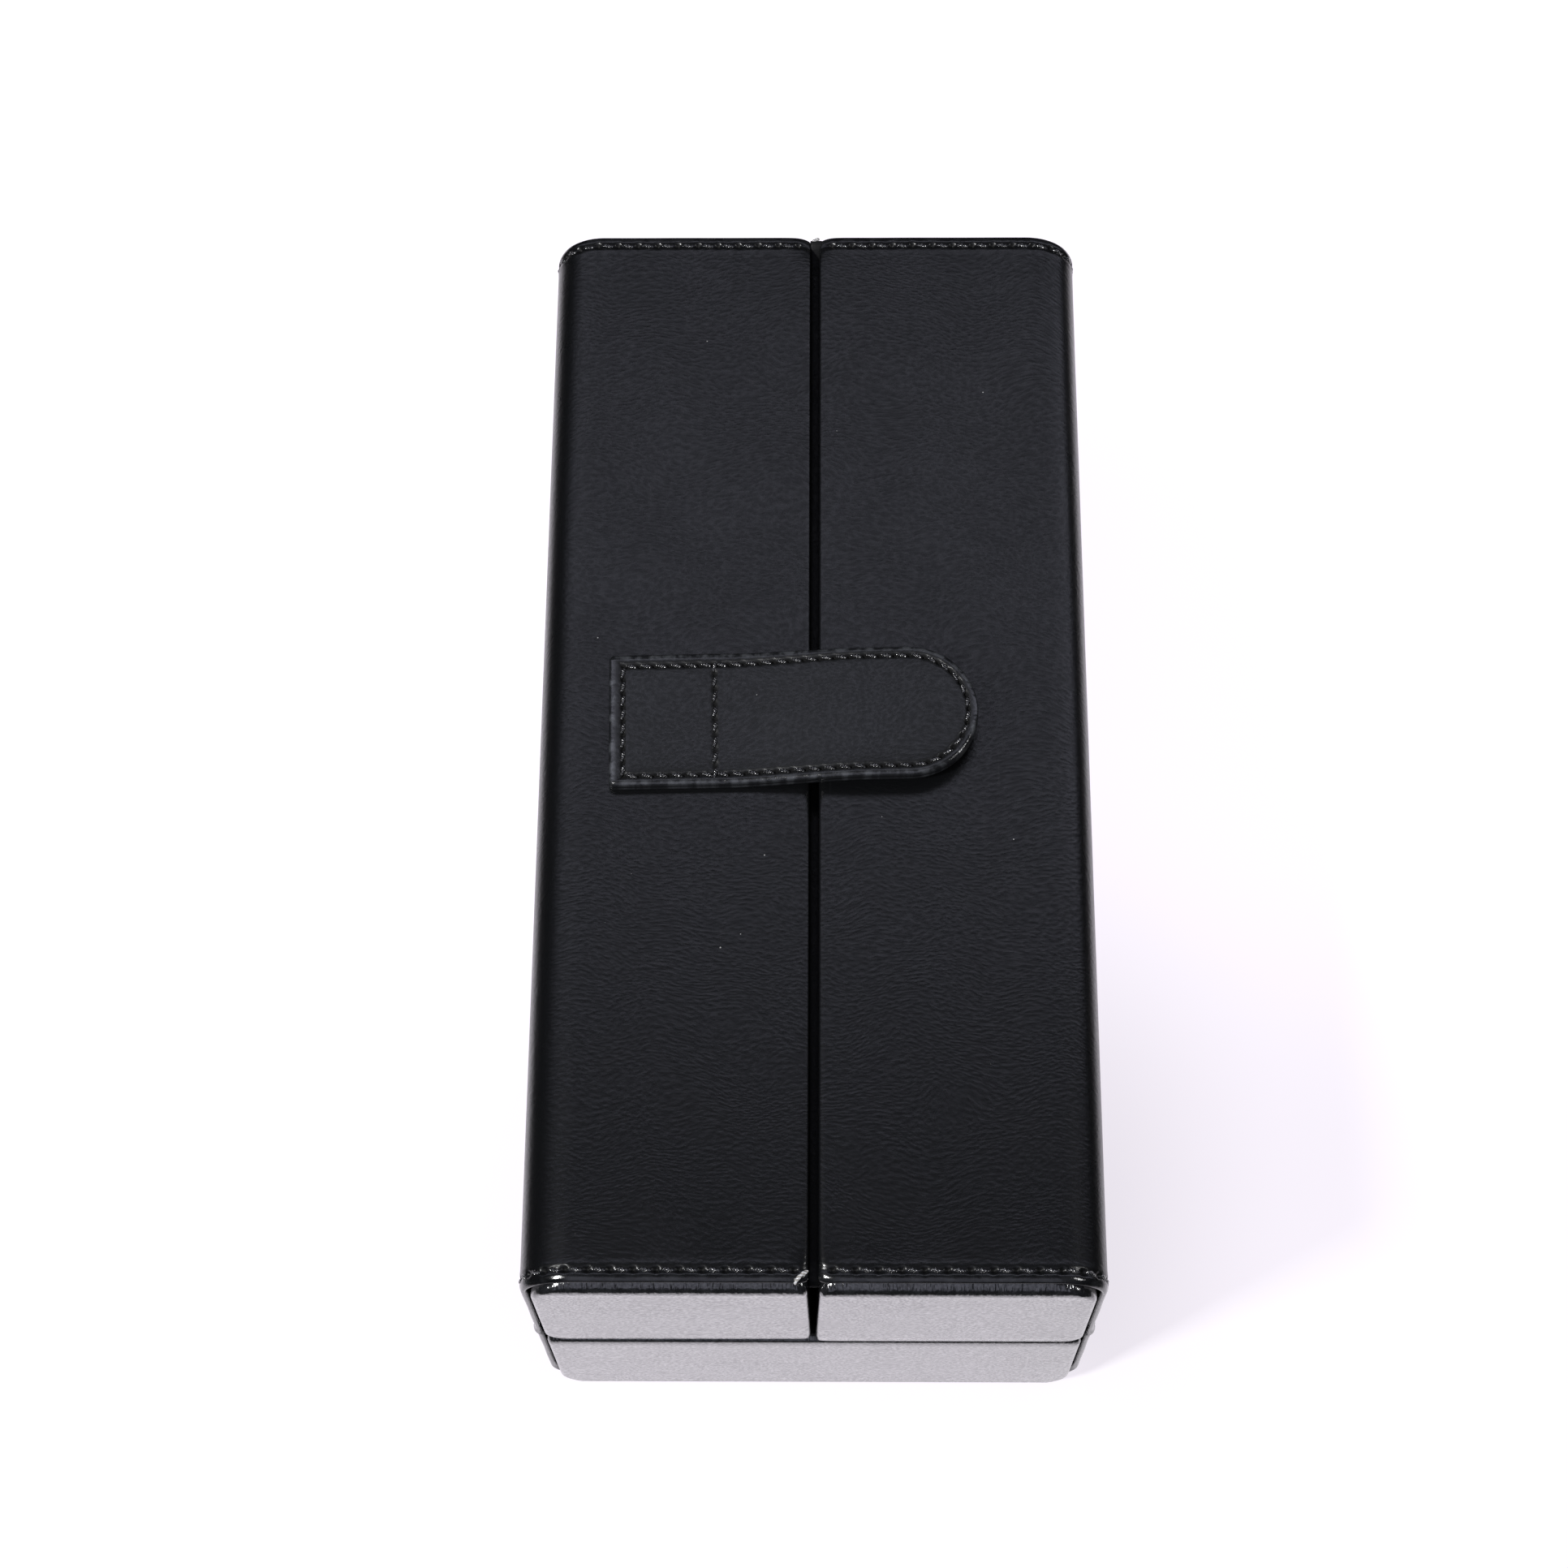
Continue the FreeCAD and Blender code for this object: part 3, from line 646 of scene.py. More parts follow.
def thread(name, colour):
    """Waxed thread: dark, wound and coated with glossy wax. Its colour is painted lighter on the crests of
    the twist and darker in the grooves between them, as light and shade.
    """
    material, tree, shader = start_material(name)
    wound = use_group(tree, TWIST, {"Place": coordinates(tree, "UV")})["Height"]
    normal = emboss(tree, wound, THREAD_RELIEF)
    fill(tree, shader, {
        "Base Color": mixed(tree, wound, colour, grey(colour[0] * CREST_PAINTED_LIGHTER, THREAD_TINT)),
        "Roughness": soft_step(tree, wound, -1.0, 1.0, *THREAD_ROUGH),
        "Normal": normal,
        "Coat Normal": normal,
        "Specular IOR Level": 1.0,
        "Coat Weight": 1.0,
        "Coat IOR": 2.0,
        "Coat Roughness": 0.2,
    })
    return material


def velvet(name, dark, light):
    """Velvet: soft fibres with a pale sheen at grazing angles and brushed patches."""
    material, tree, shader = start_material(name)
    place = coordinates(tree)
    pile = use_group(tree, PILE, {"Place": place})
    lint = use_group(tree, LINT, {"Place": place, "Specks": VELVET_SPECKS})["Lint"]
    nap = mixed(tree, pile["Brushed"], dark, light)
    fill(tree, shader, {
        "Base Color": mixed(tree, maths(tree, "MULTIPLY", lint, VELVET_LINT), nap, VELVET_LINT_TONE),
        "Roughness": soft_step(tree, pile["Brushed"], 0.0, 1.0, *VELVET_ROUGH),
        "Normal": emboss(tree, pile["Height"], VELVET_RELIEF, strength=0.7),
        "Sheen Weight": 0.7,
        "Sheen Roughness": 0.35,
        "Sheen Tint": light,
        "Specular IOR Level": 0.2,
    })
    return material


BLACK_THREAD = thread("black_waxed_thread", grey(0.008, THREAD_TINT))
PALE_THREAD = thread("pale_thread_core", (0.42, 0.40, 0.38, 1))
VELVET = velvet("black_velvet", grey(0.013, 0.1), grey(0.024, 0.15))
ROLL_VELVET = velvet("ring_roll_velvet", grey(0.016, 0.1), grey(0.027, 0.15))
print("soft finishes:", [piece.name for piece in (BLACK_THREAD, PALE_THREAD, VELVET, ROLL_VELVET)])

# %% Card and metal
CARD_TONES = ((0.16, 0.14, 0.115, 1), (0.23, 0.205, 0.17, 1))
CARD_ROUGH = (0.85, 0.95)
CARD_RELIEF = 0.05 * MM
FLECK_SCALE = 900.0
FLECK_LIMITS = (0.4, 0.65)
POLISH_RELIEF = 0.01 * MM
POLISH_DRAWN = 6
DULL_SCALE = 180.0
DULL_LIMITS = (0.45, 0.7)
DULL_ROUGH = 0.12
DULL_TONE = 0.8


def card(name):
    """Grey pressed card with flecks of fibre."""
    material, tree, shader = start_material(name)
    flecks = soft_step(tree, noise(tree, coordinates(tree), FLECK_SCALE, 4.0), *FLECK_LIMITS)
    fill(tree, shader, {
        "Base Color": mixed(tree, flecks, *CARD_TONES),
        "Roughness": soft_step(tree, flecks, 0.0, 1.0, *CARD_ROUGH),
        "Normal": emboss(tree, flecks, CARD_RELIEF, strength=0.4),
    })
    return material


def plated(name, colour, rough, lines):
    """Plated metal with fine polishing lines and a few dull patches."""
    material, tree, shader = start_material(name)
    place = coordinates(tree)
    marks = noise(tree, drawn_out(tree, place, (lines, lines, lines * POLISH_DRAWN)), 1.0, 3.0)
    dull = soft_step(tree, noise(tree, place, DULL_SCALE, 3.0), *DULL_LIMITS)
    faded = tuple(DULL_TONE * part for part in colour[:3]) + (1.0,)
    fill(tree, shader, {
        "Base Color": mixed(tree, dull, colour, faded),
        "Roughness": soft_step(tree, dull, 0.0, 1.0, rough, rough + DULL_ROUGH),
        "Normal": emboss(tree, marks, POLISH_RELIEF, strength=0.3),
        "Metallic": 1.0,
    })
    return material


CARD = card("grey_card")
CHROME = plated("chrome_wire", (0.72, 0.73, 0.75, 1), 0.1, 1500.0)
NICKEL = plated("nickel_cup", (0.62, 0.60, 0.57, 1), 0.38, 2500.0)
print("finishes:", [material.name for material in bpy.data.materials])

# %% [markdown]
# ## The jacket
# On the real box one thick leather runs from the edge of each lid over the top, down the side, past the
# hinge and under the base. It could be a cube with bevels, but its rolled ends, stitched groove and hinge
# fold all follow the same line. So each half is a slab carried along that line.

# %% Jacket measures
_, base_high = corners("base_cover")
_, lid_high = corners("left_lid_cover")
HALF_WIDTH = base_high[0]
HALF_LENGTH = base_high[1]
CASE_HEIGHT = lid_high[2]
HALF_GAP = -lid_high[0]
PARTING = joints["left_lid_swing"]["pos_m"][2]
COVER_THICK = corners("base_wrap")[0][2]
BEND = 9.5 * MM
LIP = 1.3 * MM
SEAM_IN = 2.1 * MM
SEAM_PITCH = 3.85 * MM
SEAM_START = 2.4 * MM
SEAM_GROOVE = 0.12 * MM
PIT_DEPTH = 0.78 * MM
PIT_SIZE = 0.40 * MM
PIT_ACROSS = 0.42 * MM
GROOVE_WIDTH = 0.5 * MM
SEAM_ROLLS = ((0.05 * MM, 1.25 * MM, 0.45 * MM), (0.04 * MM, 3.1 * MM, 0.5 * MM))
PLAN_CORNER = 2.4 * MM
PLAN_CUT = 0.9 * MM
CORNER_DROOP = 0.65 * MM
DROOP_REACH = (2.2 * MM, 3.0 * MM)
WAVE_HEIGHT = 0.05 * MM
WAVE_LENGTH = 2.7 * MM
WAVE_REACH = 6 * MM
FAR_EXTRA = 0.6 * MM
HINGE_SWELL = 0.42 * MM
HINGE_REACH = 1.5 * MM
HINGE_TUCK = 0.35 * MM
TUCK_REACH = 0.7 * MM
UPRIGHT = 0.99
FAR_OFF = 1.0
OVER = HALF_WIDTH - HALF_GAP - BEND
DOWN = CASE_HEIGHT - 2 * BEND
QUARTER = BEND * math.pi / 2
JACKET_LENGTH = OVER + DOWN + 2 * QUARTER + HALF_WIDTH - BEND
print(f"jacket half: {JACKET_LENGTH / MM:.1f} mm long, leather {COVER_THICK / MM:.1f} mm")

# %% Jacket line and seam
def jacket_line(side, s):
    """Place, outward direction and direction of travel on the jacket's outside, at a distance s from the
    lid's edge: straight over the lid, a quarter circle, straight down the side, a quarter circle, straight
    under the base."""
    upper = np.clip((s - OVER) / BEND, 0, math.pi / 2)
    lower = np.clip((s - OVER - QUARTER - DOWN) / BEND, 0, math.pi / 2)
    under = np.maximum(s - OVER - 2 * QUARTER - DOWN, 0)
    x = HALF_GAP + np.minimum(s, OVER) + BEND * np.sin(upper) - BEND * (1 - np.cos(lower)) - under
    down = np.clip(s - OVER - QUARTER, 0, DOWN)
    z = CASE_HEIGHT - BEND * (1 - np.cos(upper)) - down - BEND * np.sin(lower)
    turn = upper + lower
    level = np.zeros_like(s)
    place = np.stack([side * x, level, z], axis=-1)
    out = np.stack([side * np.sin(turn), level, np.cos(turn)], axis=-1)
    ahead = np.stack([side * np.cos(turn), level, -np.sin(turn)], axis=-1)
    return place, out, ahead


def bell(distance, width):
    """A bell curve: 1 at no distance, fading over the width."""
    return np.exp(-((distance / width) ** 2))


def round_steps(length, count):
    """Distances from 0 to a length, close together at first, as a round edge needs them."""
    return length * (1 - np.cos(np.linspace(0, math.pi / 2, count)))


def swelling(distance, length):
    """A half ellipse from 0 at an edge to 1 at that length from it, and 1 beyond."""
    return np.sqrt(np.clip(1 - np.maximum(1 - distance / length, 0) ** 2, 0, 1))


def to_nearest(distance, pitch):
    """How far a distance is from the nearest multiple of the pitch."""
    return (distance / pitch - np.round(distance / pitch)) * pitch


def needle_holes(s, from_end):
    """A bell curve at each needle hole of the seam, 1 in its middle."""
    return bell(from_end - SEAM_IN, PIT_ACROSS) * bell(to_nearest(s - SEAM_START, SEAM_PITCH), PIT_SIZE)


def seam_relief(s, from_end):
    """How far the leather sinks at the seam: a shallow groove with a pit at each needle hole, and a soft
    roll on either side of it."""
    groove = SEAM_GROOVE * bell(from_end - SEAM_IN, GROOVE_WIDTH)
    rolls = sum(rise * bell(from_end - place, width) for rise, place, width in SEAM_ROLLS)
    return groove + PIT_DEPTH * needle_holes(s, from_end) - rolls


def stretched(y):
    """A place along the box, with the far half drawn out a little, as on the real jacket."""
    return y + FAR_EXTRA * np.clip(y / HALF_LENGTH, 0, 1)


def both_ends(half):
    """Distances from the nearer end along the whole box, and -1 or 1 for its near or far half."""
    from_end = np.concatenate([half, half[-2::-1]])
    way = np.concatenate([-np.ones(len(half)), np.ones(len(half) - 1)])
    return from_end, way


def off_hinge(place, out):
    """Height above the hinge on the jacket's upright side, and a great distance everywhere else."""
    return np.where(np.abs(out[:, :1]) > UPRIGHT, place[:, 2:] - PARTING, FAR_OFF)


def bend_at_hinge(piece):
    """Sets a jacket piece's placement into its mesh and returns the piece."""
    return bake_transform(piece)


# %% Jacket halves
STEPS_A_STITCH = 12
LIP_ROWS = 7
SEAM_FIRST = 0.16 * MM
SEAM_LAST = 4.2 * MM
SEAM_STEP = 0.17 * MM
PLAIN_LINES = np.array([4.6, 5.8, 7.5, 10, 14, 20, 30, 45, 62, 80]) * MM
EDGE_WIDTH = 0.6 * MM


def jacket_half(side, lid):
    """A slab carried along the jacket's line. Its thickness falls to nothing as a half ellipse at the ends
    and at the lid's edge, the seam sinks into it, its ends wave a little, its corners droop, and it swells
    at the hinge."""
    step = SEAM_PITCH / STEPS_A_STITCH
    lip = round_steps(LIP, LIP_ROWS)
    along = np.concatenate([lip, np.arange(LIP + step, JACKET_LENGTH, step), [JACKET_LENGTH] * 2])
    seam = np.arange(LIP + SEAM_FIRST, SEAM_LAST, SEAM_STEP)
    from_end, way = both_ends(np.concatenate([lip, seam, PLAIN_LINES, [HALF_LENGTH]]))
    e = np.concatenate([from_end, from_end[-2::-1]])[None, :]
    way = np.concatenate([way, way[-2::-1]])[None, :]
    outside = np.arange(e.shape[1])[None, :] < len(from_end)
    s = along[:, None]
    full = swelling(e, LIP) * swelling(s, LIP)
    full[-1] = 0
    place, out, _ = jacket_line(side, along)
    from_hinge = off_hinge(place, out)
    swell = HINGE_SWELL * bell(from_hinge, HINGE_REACH)
    tuck = HINGE_TUCK * bell(from_hinge, TUCK_REACH)
    above_floor = np.clip((OVER + QUARTER + DOWN - s) / BEND, 0, 1)
    wave = WAVE_HEIGHT * np.sin(s / WAVE_LENGTH + side) * bell(e, WAVE_REACH) * above_floor
    skin = COVER_THICK / 2 * full - seam_relief(s, e) * full + wave * full
    flesh = -COVER_THICK / 2 * full - tuck * full
    depth = np.where(outside, skin, flesh) - COVER_THICK / 2 + swell
    cut = PLAN_CUT * (1 - swelling(s, PLAN_CORNER))
    y = stretched(way * (HALF_LENGTH - e - cut * (1 - e / HALF_LENGTH)))
    points = place[:, None, :] + out[:, None, :] * depth[..., None]
    points[..., 1] += y
    points[..., 2] -= CORNER_DROOP * bell(s, DROOP_REACH[0]) * bell(e, DROOP_REACH[1])
    uv = np.stack(np.broadcast_arrays(side * s, y), axis=-1)
    # The needle holes' mask paints them black, as shade in the holes.
    masks = {"edge": bell(e - LIP / 2, EDGE_WIDTH) + 0 * s, "painted_shade": needle_holes(s, e) * outside}
    piece = new_piece(lid.split("_")[0] + "_jacket", points, COVER_LEATHER, uv, masks)
    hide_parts(f"{lid}_cover", lid.replace("_lid", "_hinge_leather"), "base_cover")
    return bend_at_hinge(piece)


SIDES = {"left_lid": -1, "right_lid": 1}
for lid, side in SIDES.items():
    jacket_half(side, lid)

# %% [markdown]
# ## The seams
# A row of thick black stitches runs along both ends of each half. A curve with an array would do, but then
# each stitch could not dip into its needle holes. Here one small twisted spindle is worked out once and set
# down at every stitch by adding arrays, so all of them form a single light mesh.

# %% Seam stitches
STITCH_ROWS = 11
STITCH_AROUND = 9
STITCH_UV = np.stack(
    np.meshgrid(np.linspace(0, 1, STITCH_ROWS), np.linspace(0, 1, STITCH_AROUND), indexing="ij"), axis=-1
)
STITCH_FLAT = 0.62
PLY_DEPTH = 0.24
PLY_WIND = 7
SEAM_STITCH = {
    "length": 0.74 * SEAM_PITCH,
    "radius": 0.40 * MM,
    "arch": 0.55 * MM,
    "sink": -0.58 * MM,
    "slant": 0.30 * MM,
}
UNDER_SINK = 0.4 * MM
UNDER_FROM = 0.8
UNDER_SOFT = 0.15


def spindle(length, radius, arch, sink, slant):
    """A stitch as offsets along, across and up: a flattened tube with a two-ply outline that winds, arched
    between its holes, and closed to a point at both ends."""
    t = np.linspace(-1, 1, STITCH_ROWS)[:, None]
    turn = np.linspace(0, 2 * math.pi, STITCH_AROUND)[None, :]
    plies = 1 + PLY_DEPTH * np.cos(PLIES * turn - PLY_WIND * t)
    girth = radius * np.sqrt(np.clip(1 - t ** 4, 0, 1)) * plies
    ahead = t * length / 2 + 0 * turn
    across = slant * t + girth * np.cos(turn)
    up = sink + arch * (1 - t ** 2) + STITCH_FLAT * girth * np.sin(turn)
    return np.stack([ahead, across, up], axis=-1)


def set_down(stitch, place, ahead, across, up):
    """Copies of a stitch: each place plus the stitch's offsets along that place's own directions."""
    frame_of = np.stack([ahead, across, up], axis=-2)
    return place[:, None, None, :] + np.einsum("rcd,kdx->krcx", stitch, frame_of)


def seam_row(side, lid):
    """A row of stitches along both ends of a jacket half: each lies half way between two holes of the
    jacket's line, out on the swelling at the hinge, and lowered under the base, where the box stands."""
    holes = np.arange(SEAM_START, JACKET_LENGTH - SEAM_PITCH, SEAM_PITCH)
    middle = holes + SEAM_PITCH / 2
    place, out, ahead = jacket_line(side, middle)
    place = place + out * HINGE_SWELL * bell(off_hinge(place, out), HINGE_REACH)
    place -= out * UNDER_SINK * np.clip((-out[:, 2:] - UNDER_FROM) / UNDER_SOFT, 0, 1)
    across = np.zeros_like(place)
    across[:, 1] = 1
    stitch = spindle(**SEAM_STITCH)
    rows = []
    for end in (-1, 1):
        row = place.copy()
        row[:, 1] = stretched(end * (HALF_LENGTH - SEAM_IN))
        rows.append(set_down(stitch, row, ahead, across * -side, out))
    piece = new_piece(lid.split("_")[0] + "_seam_stitches", np.concatenate(rows), BLACK_THREAD, STITCH_UV)
    return bend_at_hinge(piece)


for lid, side in SIDES.items():
    seam_row(side, lid)

# %% [markdown]
# ## Loose thread ends
# Where the seams start, at the lids' inner corners, a pale end of the thread's core sticks out. A circle
# carried along a bent line is enough for each. Small faults of this kind are what tells a sewn box from a
# moulded one.

# %% Loose threads
LOOSE_RADIUS = 0.32 * MM
LOOSE_BLUNT = 8
LOOSE_ROWS = 15
LOOSE_AROUND = 11
LOOSE_PLY = 0.15
LOOSE_WIND = 16
LOOSE_ENDS = {
    "left_lid": [(-3.2, -101.75, 80.0), (-2.4, -100.4, 82.4), (-0.75, -99.6, 81.2)],
    "right_lid": [(-0.5, 101.2, 79.9), (-0.1, 101.7, 80.4), (0.9, 101.9, 80.2)],
}


def loose_thread(name, route, body):
    """A circle carried along the curve (1-t)^2 a + 2t(1-t) b + t^2 c, with round ends."""
    a, b, c = np.array(route) * MM
    t = np.linspace(0, 1, LOOSE_ROWS)[:, None]
    line = (1 - t) ** 2 * a + 2 * t * (1 - t) * b + t ** 2 * c
    ahead = (1 - t) * (b - a) + t * (c - b)
    across = np.cross(ahead, [0.0, 0.0, 1.0])
    across /= np.linalg.norm(across, axis=1, keepdims=True)
    up = np.cross(across, ahead)
    up /= np.linalg.norm(up, axis=1, keepdims=True)
    turn = np.linspace(0, 2 * math.pi, LOOSE_AROUND)[None, :]
    plies = 1 + LOOSE_PLY * np.cos(PLIES * turn - LOOSE_WIND * t)
    girth = LOOSE_RADIUS * np.sqrt(np.clip(1 - (2 * t - 1) ** LOOSE_BLUNT, 0, 1)) * plies
    offset = np.cos(turn)[..., None] * across[:, None] + np.sin(turn)[..., None] * up[:, None]
    uv = np.stack(np.broadcast_arrays(t, turn / (2 * math.pi)), axis=-1)
    piece = new_piece(name, line[:, None] + girth[..., None] * offset, PALE_THREAD, uv)
    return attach(piece, body)


for lid, route in LOOSE_ENDS.items():
    loose_thread(f"{lid}_thread_end", route, lid)

# %% [markdown]
# ## The flap in the gap
# The right lid carries a narrow leather flap that reaches across the gap, just below the top, so that
# nothing falls in and no light comes through. It is a long thin slab with rounded edges, clear of the left
# lid by a hair. Its leather is painted dark, as shade deep in the gap.

# %% Gap flap
FLAP_TOP = 4.2 * MM
FLAP_CURL = 3.6 * MM
FLAP_DIP = 2.0 * MM
FLAP_THICK = 0.8 * MM
FLAP_TUCK = 0.06 * MM
FLAP_UNDER = 0.6 * MM
FLAP_ROUND = 0.4 * MM
FLAP_STEPS = 5
FLAP_NEAR = 0.6 * MM
FLAP_FAR = -0.2 * MM
FLAP_BEND_AT = 0.6 * MM
FLAP_BEND_REACH = 2.4 * MM
FLAP_SHADE = 0.7
FLAP_LINES = np.array([0.8, 1.4, 2, 2.6, 3.3, 4, 5, 6, 10, 30, 60]) * MM


def gap_flap():
    """A slab across the gap: its thickness swells as half ellipses from both edges and both ends, the far
    end curls up and the near end dips."""
    low_x, high_x = -HALF_GAP - FLAP_TUCK, HALF_GAP + FLAP_UNDER
    in_x = round_steps(FLAP_ROUND, FLAP_STEPS)
    half = np.concatenate([in_x, FLAP_LINES, [HALF_LENGTH]])
    from_end, way = (part[:, None] for part in both_ends(half))
    wide = high_x - low_x
    from_left = np.concatenate([in_x, wide - in_x[::-1]])[None, :]
    full = swelling(from_end, FLAP_ROUND) * swelling(np.minimum(from_left, wide - from_left), FLAP_ROUND)
    bend = np.where(way > 0, FLAP_CURL, -FLAP_DIP) * bell(from_end - FLAP_BEND_AT, FLAP_BEND_REACH)
    top = CASE_HEIGHT - FLAP_TOP + bend + 0 * from_left
    x = low_x + from_left + 0 * from_end
    short = np.where(way > 0, FLAP_FAR, FLAP_NEAR)
    y = way * (HALF_LENGTH - short - from_end * (1 - short / HALF_LENGTH)) + 0 * from_left
    upper = np.stack([x, y, top - FLAP_THICK / 2 * (1 - full)], axis=-1)
    lower = np.stack([x, y, top - FLAP_THICK / 2 * (1 + full)], axis=-1)
    points = np.concatenate([upper, lower[:, ::-1], upper[:, :1]], axis=1)
    # Painted shade: the whole flap is mixed this far towards black, as it lies in shade deep in the gap.
    shade = {"painted_shade": np.full(points.shape[:2], FLAP_SHADE)}
    piece = new_piece("gap_flap", points, COVER_LEATHER, points[..., :2], shade)
    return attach(piece, "right_lid")


gap_flap()

# %% [markdown]
# ## The trays
# Each tray is card boards in a thin leather skin that turns over the rim. Its level cuts are rounded
# rectangles that shrink into the floor along a quarter circle. So one helper gives a stack of rounded
# rectangles, each row with its own box and corner, and nearly every stiff piece of the box can be made with
# it.

# %% Stacked rounded rectangles
QUADRANTS = np.array([[1, 1], [-1, 1], [-1, -1], [1, -1]])


def ring(corner_counts, side_counts):
    """Once round a rounded rectangle: for each point the two corners it lies between, its share of the way
    from one to the other, and the direction from the corner's centre. The last point repeats the first."""
    first, second, share, angle = [], [], [], []
    for k in range(4):
        turn = np.linspace(0, math.pi / 2, corner_counts[k]) + k * math.pi / 2
        between = np.linspace(0, 1, side_counts[k] + 2)[1:-1]
        first.append(np.full(len(turn) + len(between), k))
        second.append(np.concatenate([np.full(len(turn), k), np.full(len(between), (k + 1) % 4)]))
        share.append(np.concatenate([np.zeros(len(turn)), between]))
        angle.append(np.concatenate([turn, np.full(len(between), (k + 1) * math.pi / 2)]))
    first, second, share, angle = (np.concatenate(part) for part in (first, second, share, angle))
    first, second, share, angle = (np.append(part, part[0]) for part in (first, second, share, angle))
    return first, second, share, np.stack([np.cos(angle), np.sin(angle)], axis=-1)


def stacked(around, low, high, radius, z):
    """Rows of rounded rectangles at heights z, from each row's low and high corners and its radius."""
    first, second, share, direction = around
    rows = len(low)
    radius = np.broadcast_to(np.reshape(radius, (rows, -1)), (rows, 4))
    centre = np.where(QUADRANTS > 0, high[:, None] - radius[..., None], low[:, None] + radius[..., None])

    def at(corner):
        return centre[:, corner] + radius[:, corner, None] * direction

    flat = (1 - share)[:, None] * at(first) + share[:, None] * at(second)
    level = np.broadcast_to(np.reshape(z, (rows, -1)), flat.shape[:2])
    return np.concatenate([flat, level[..., None]], axis=-1)


def bite(height, radius):
    """How far a quarter circle of that radius has drawn in at a height above its lowest point."""
    return radius - np.sqrt(np.maximum(radius ** 2 - np.maximum(radius - height, 0) ** 2, 0))


def drawn_in(low, high, amount):
    """A box's low and high corners moved in by an amount a side, and no further than its middle."""
    amount = np.minimum(amount, (high - low).min() / 2)[:, None]
    return low + amount, high - amount


CLOSED = 1.0


def close_ends(row_low, row_high):
    """Draws the first and the last row in to the middle of their boxes, which closes a stack."""
    for row in (0, -1):
        row_low[row], row_high[row] = (part[0] for part in drawn_in(row_low[row], row_high[row], [CLOSED]))


# %% Tray skins
LID_ROUND = 2.8 * MM
BASE_ROUND = 1.8 * MM
WALL_CORNER = 0.9 * MM
LID_RIM = 0.5 * MM
BASE_RIM = 1.1 * MM
LID_RIM_DROP = 3.2 * MM
BASE_RIM_DROP = 0.7 * MM
SKIN = 0.8 * MM
RIM_WIDTH = 3.55 * MM
TURN_IN = 2.4 * MM
TRAY_CORNER = 7.5 * MM
INNER_CORNER = 3.0 * MM
LEAN_FROM = 0.22
TURNED_THICK = 0.27 * MM
CORNER_GROWTH = 0.6
LEAST_CORNER = 0.05 * MM
DROP_REACH = (1.5 * MM, 3.0 * MM, 4.0 * MM)
FLOOR_EDGE = (0.45, 0.6)
RIM_EDGE = 0.9 * MM
FLOOR_STEPS = 15
RIM_STEPS = 5
WALL_ROWS = np.linspace(0.25, 0.9, 6)
UNDER_RIM = 1.5 * SKIN
TRAY_RING = ring((6, 6, 6, 6), (40, 60, 40, 60))


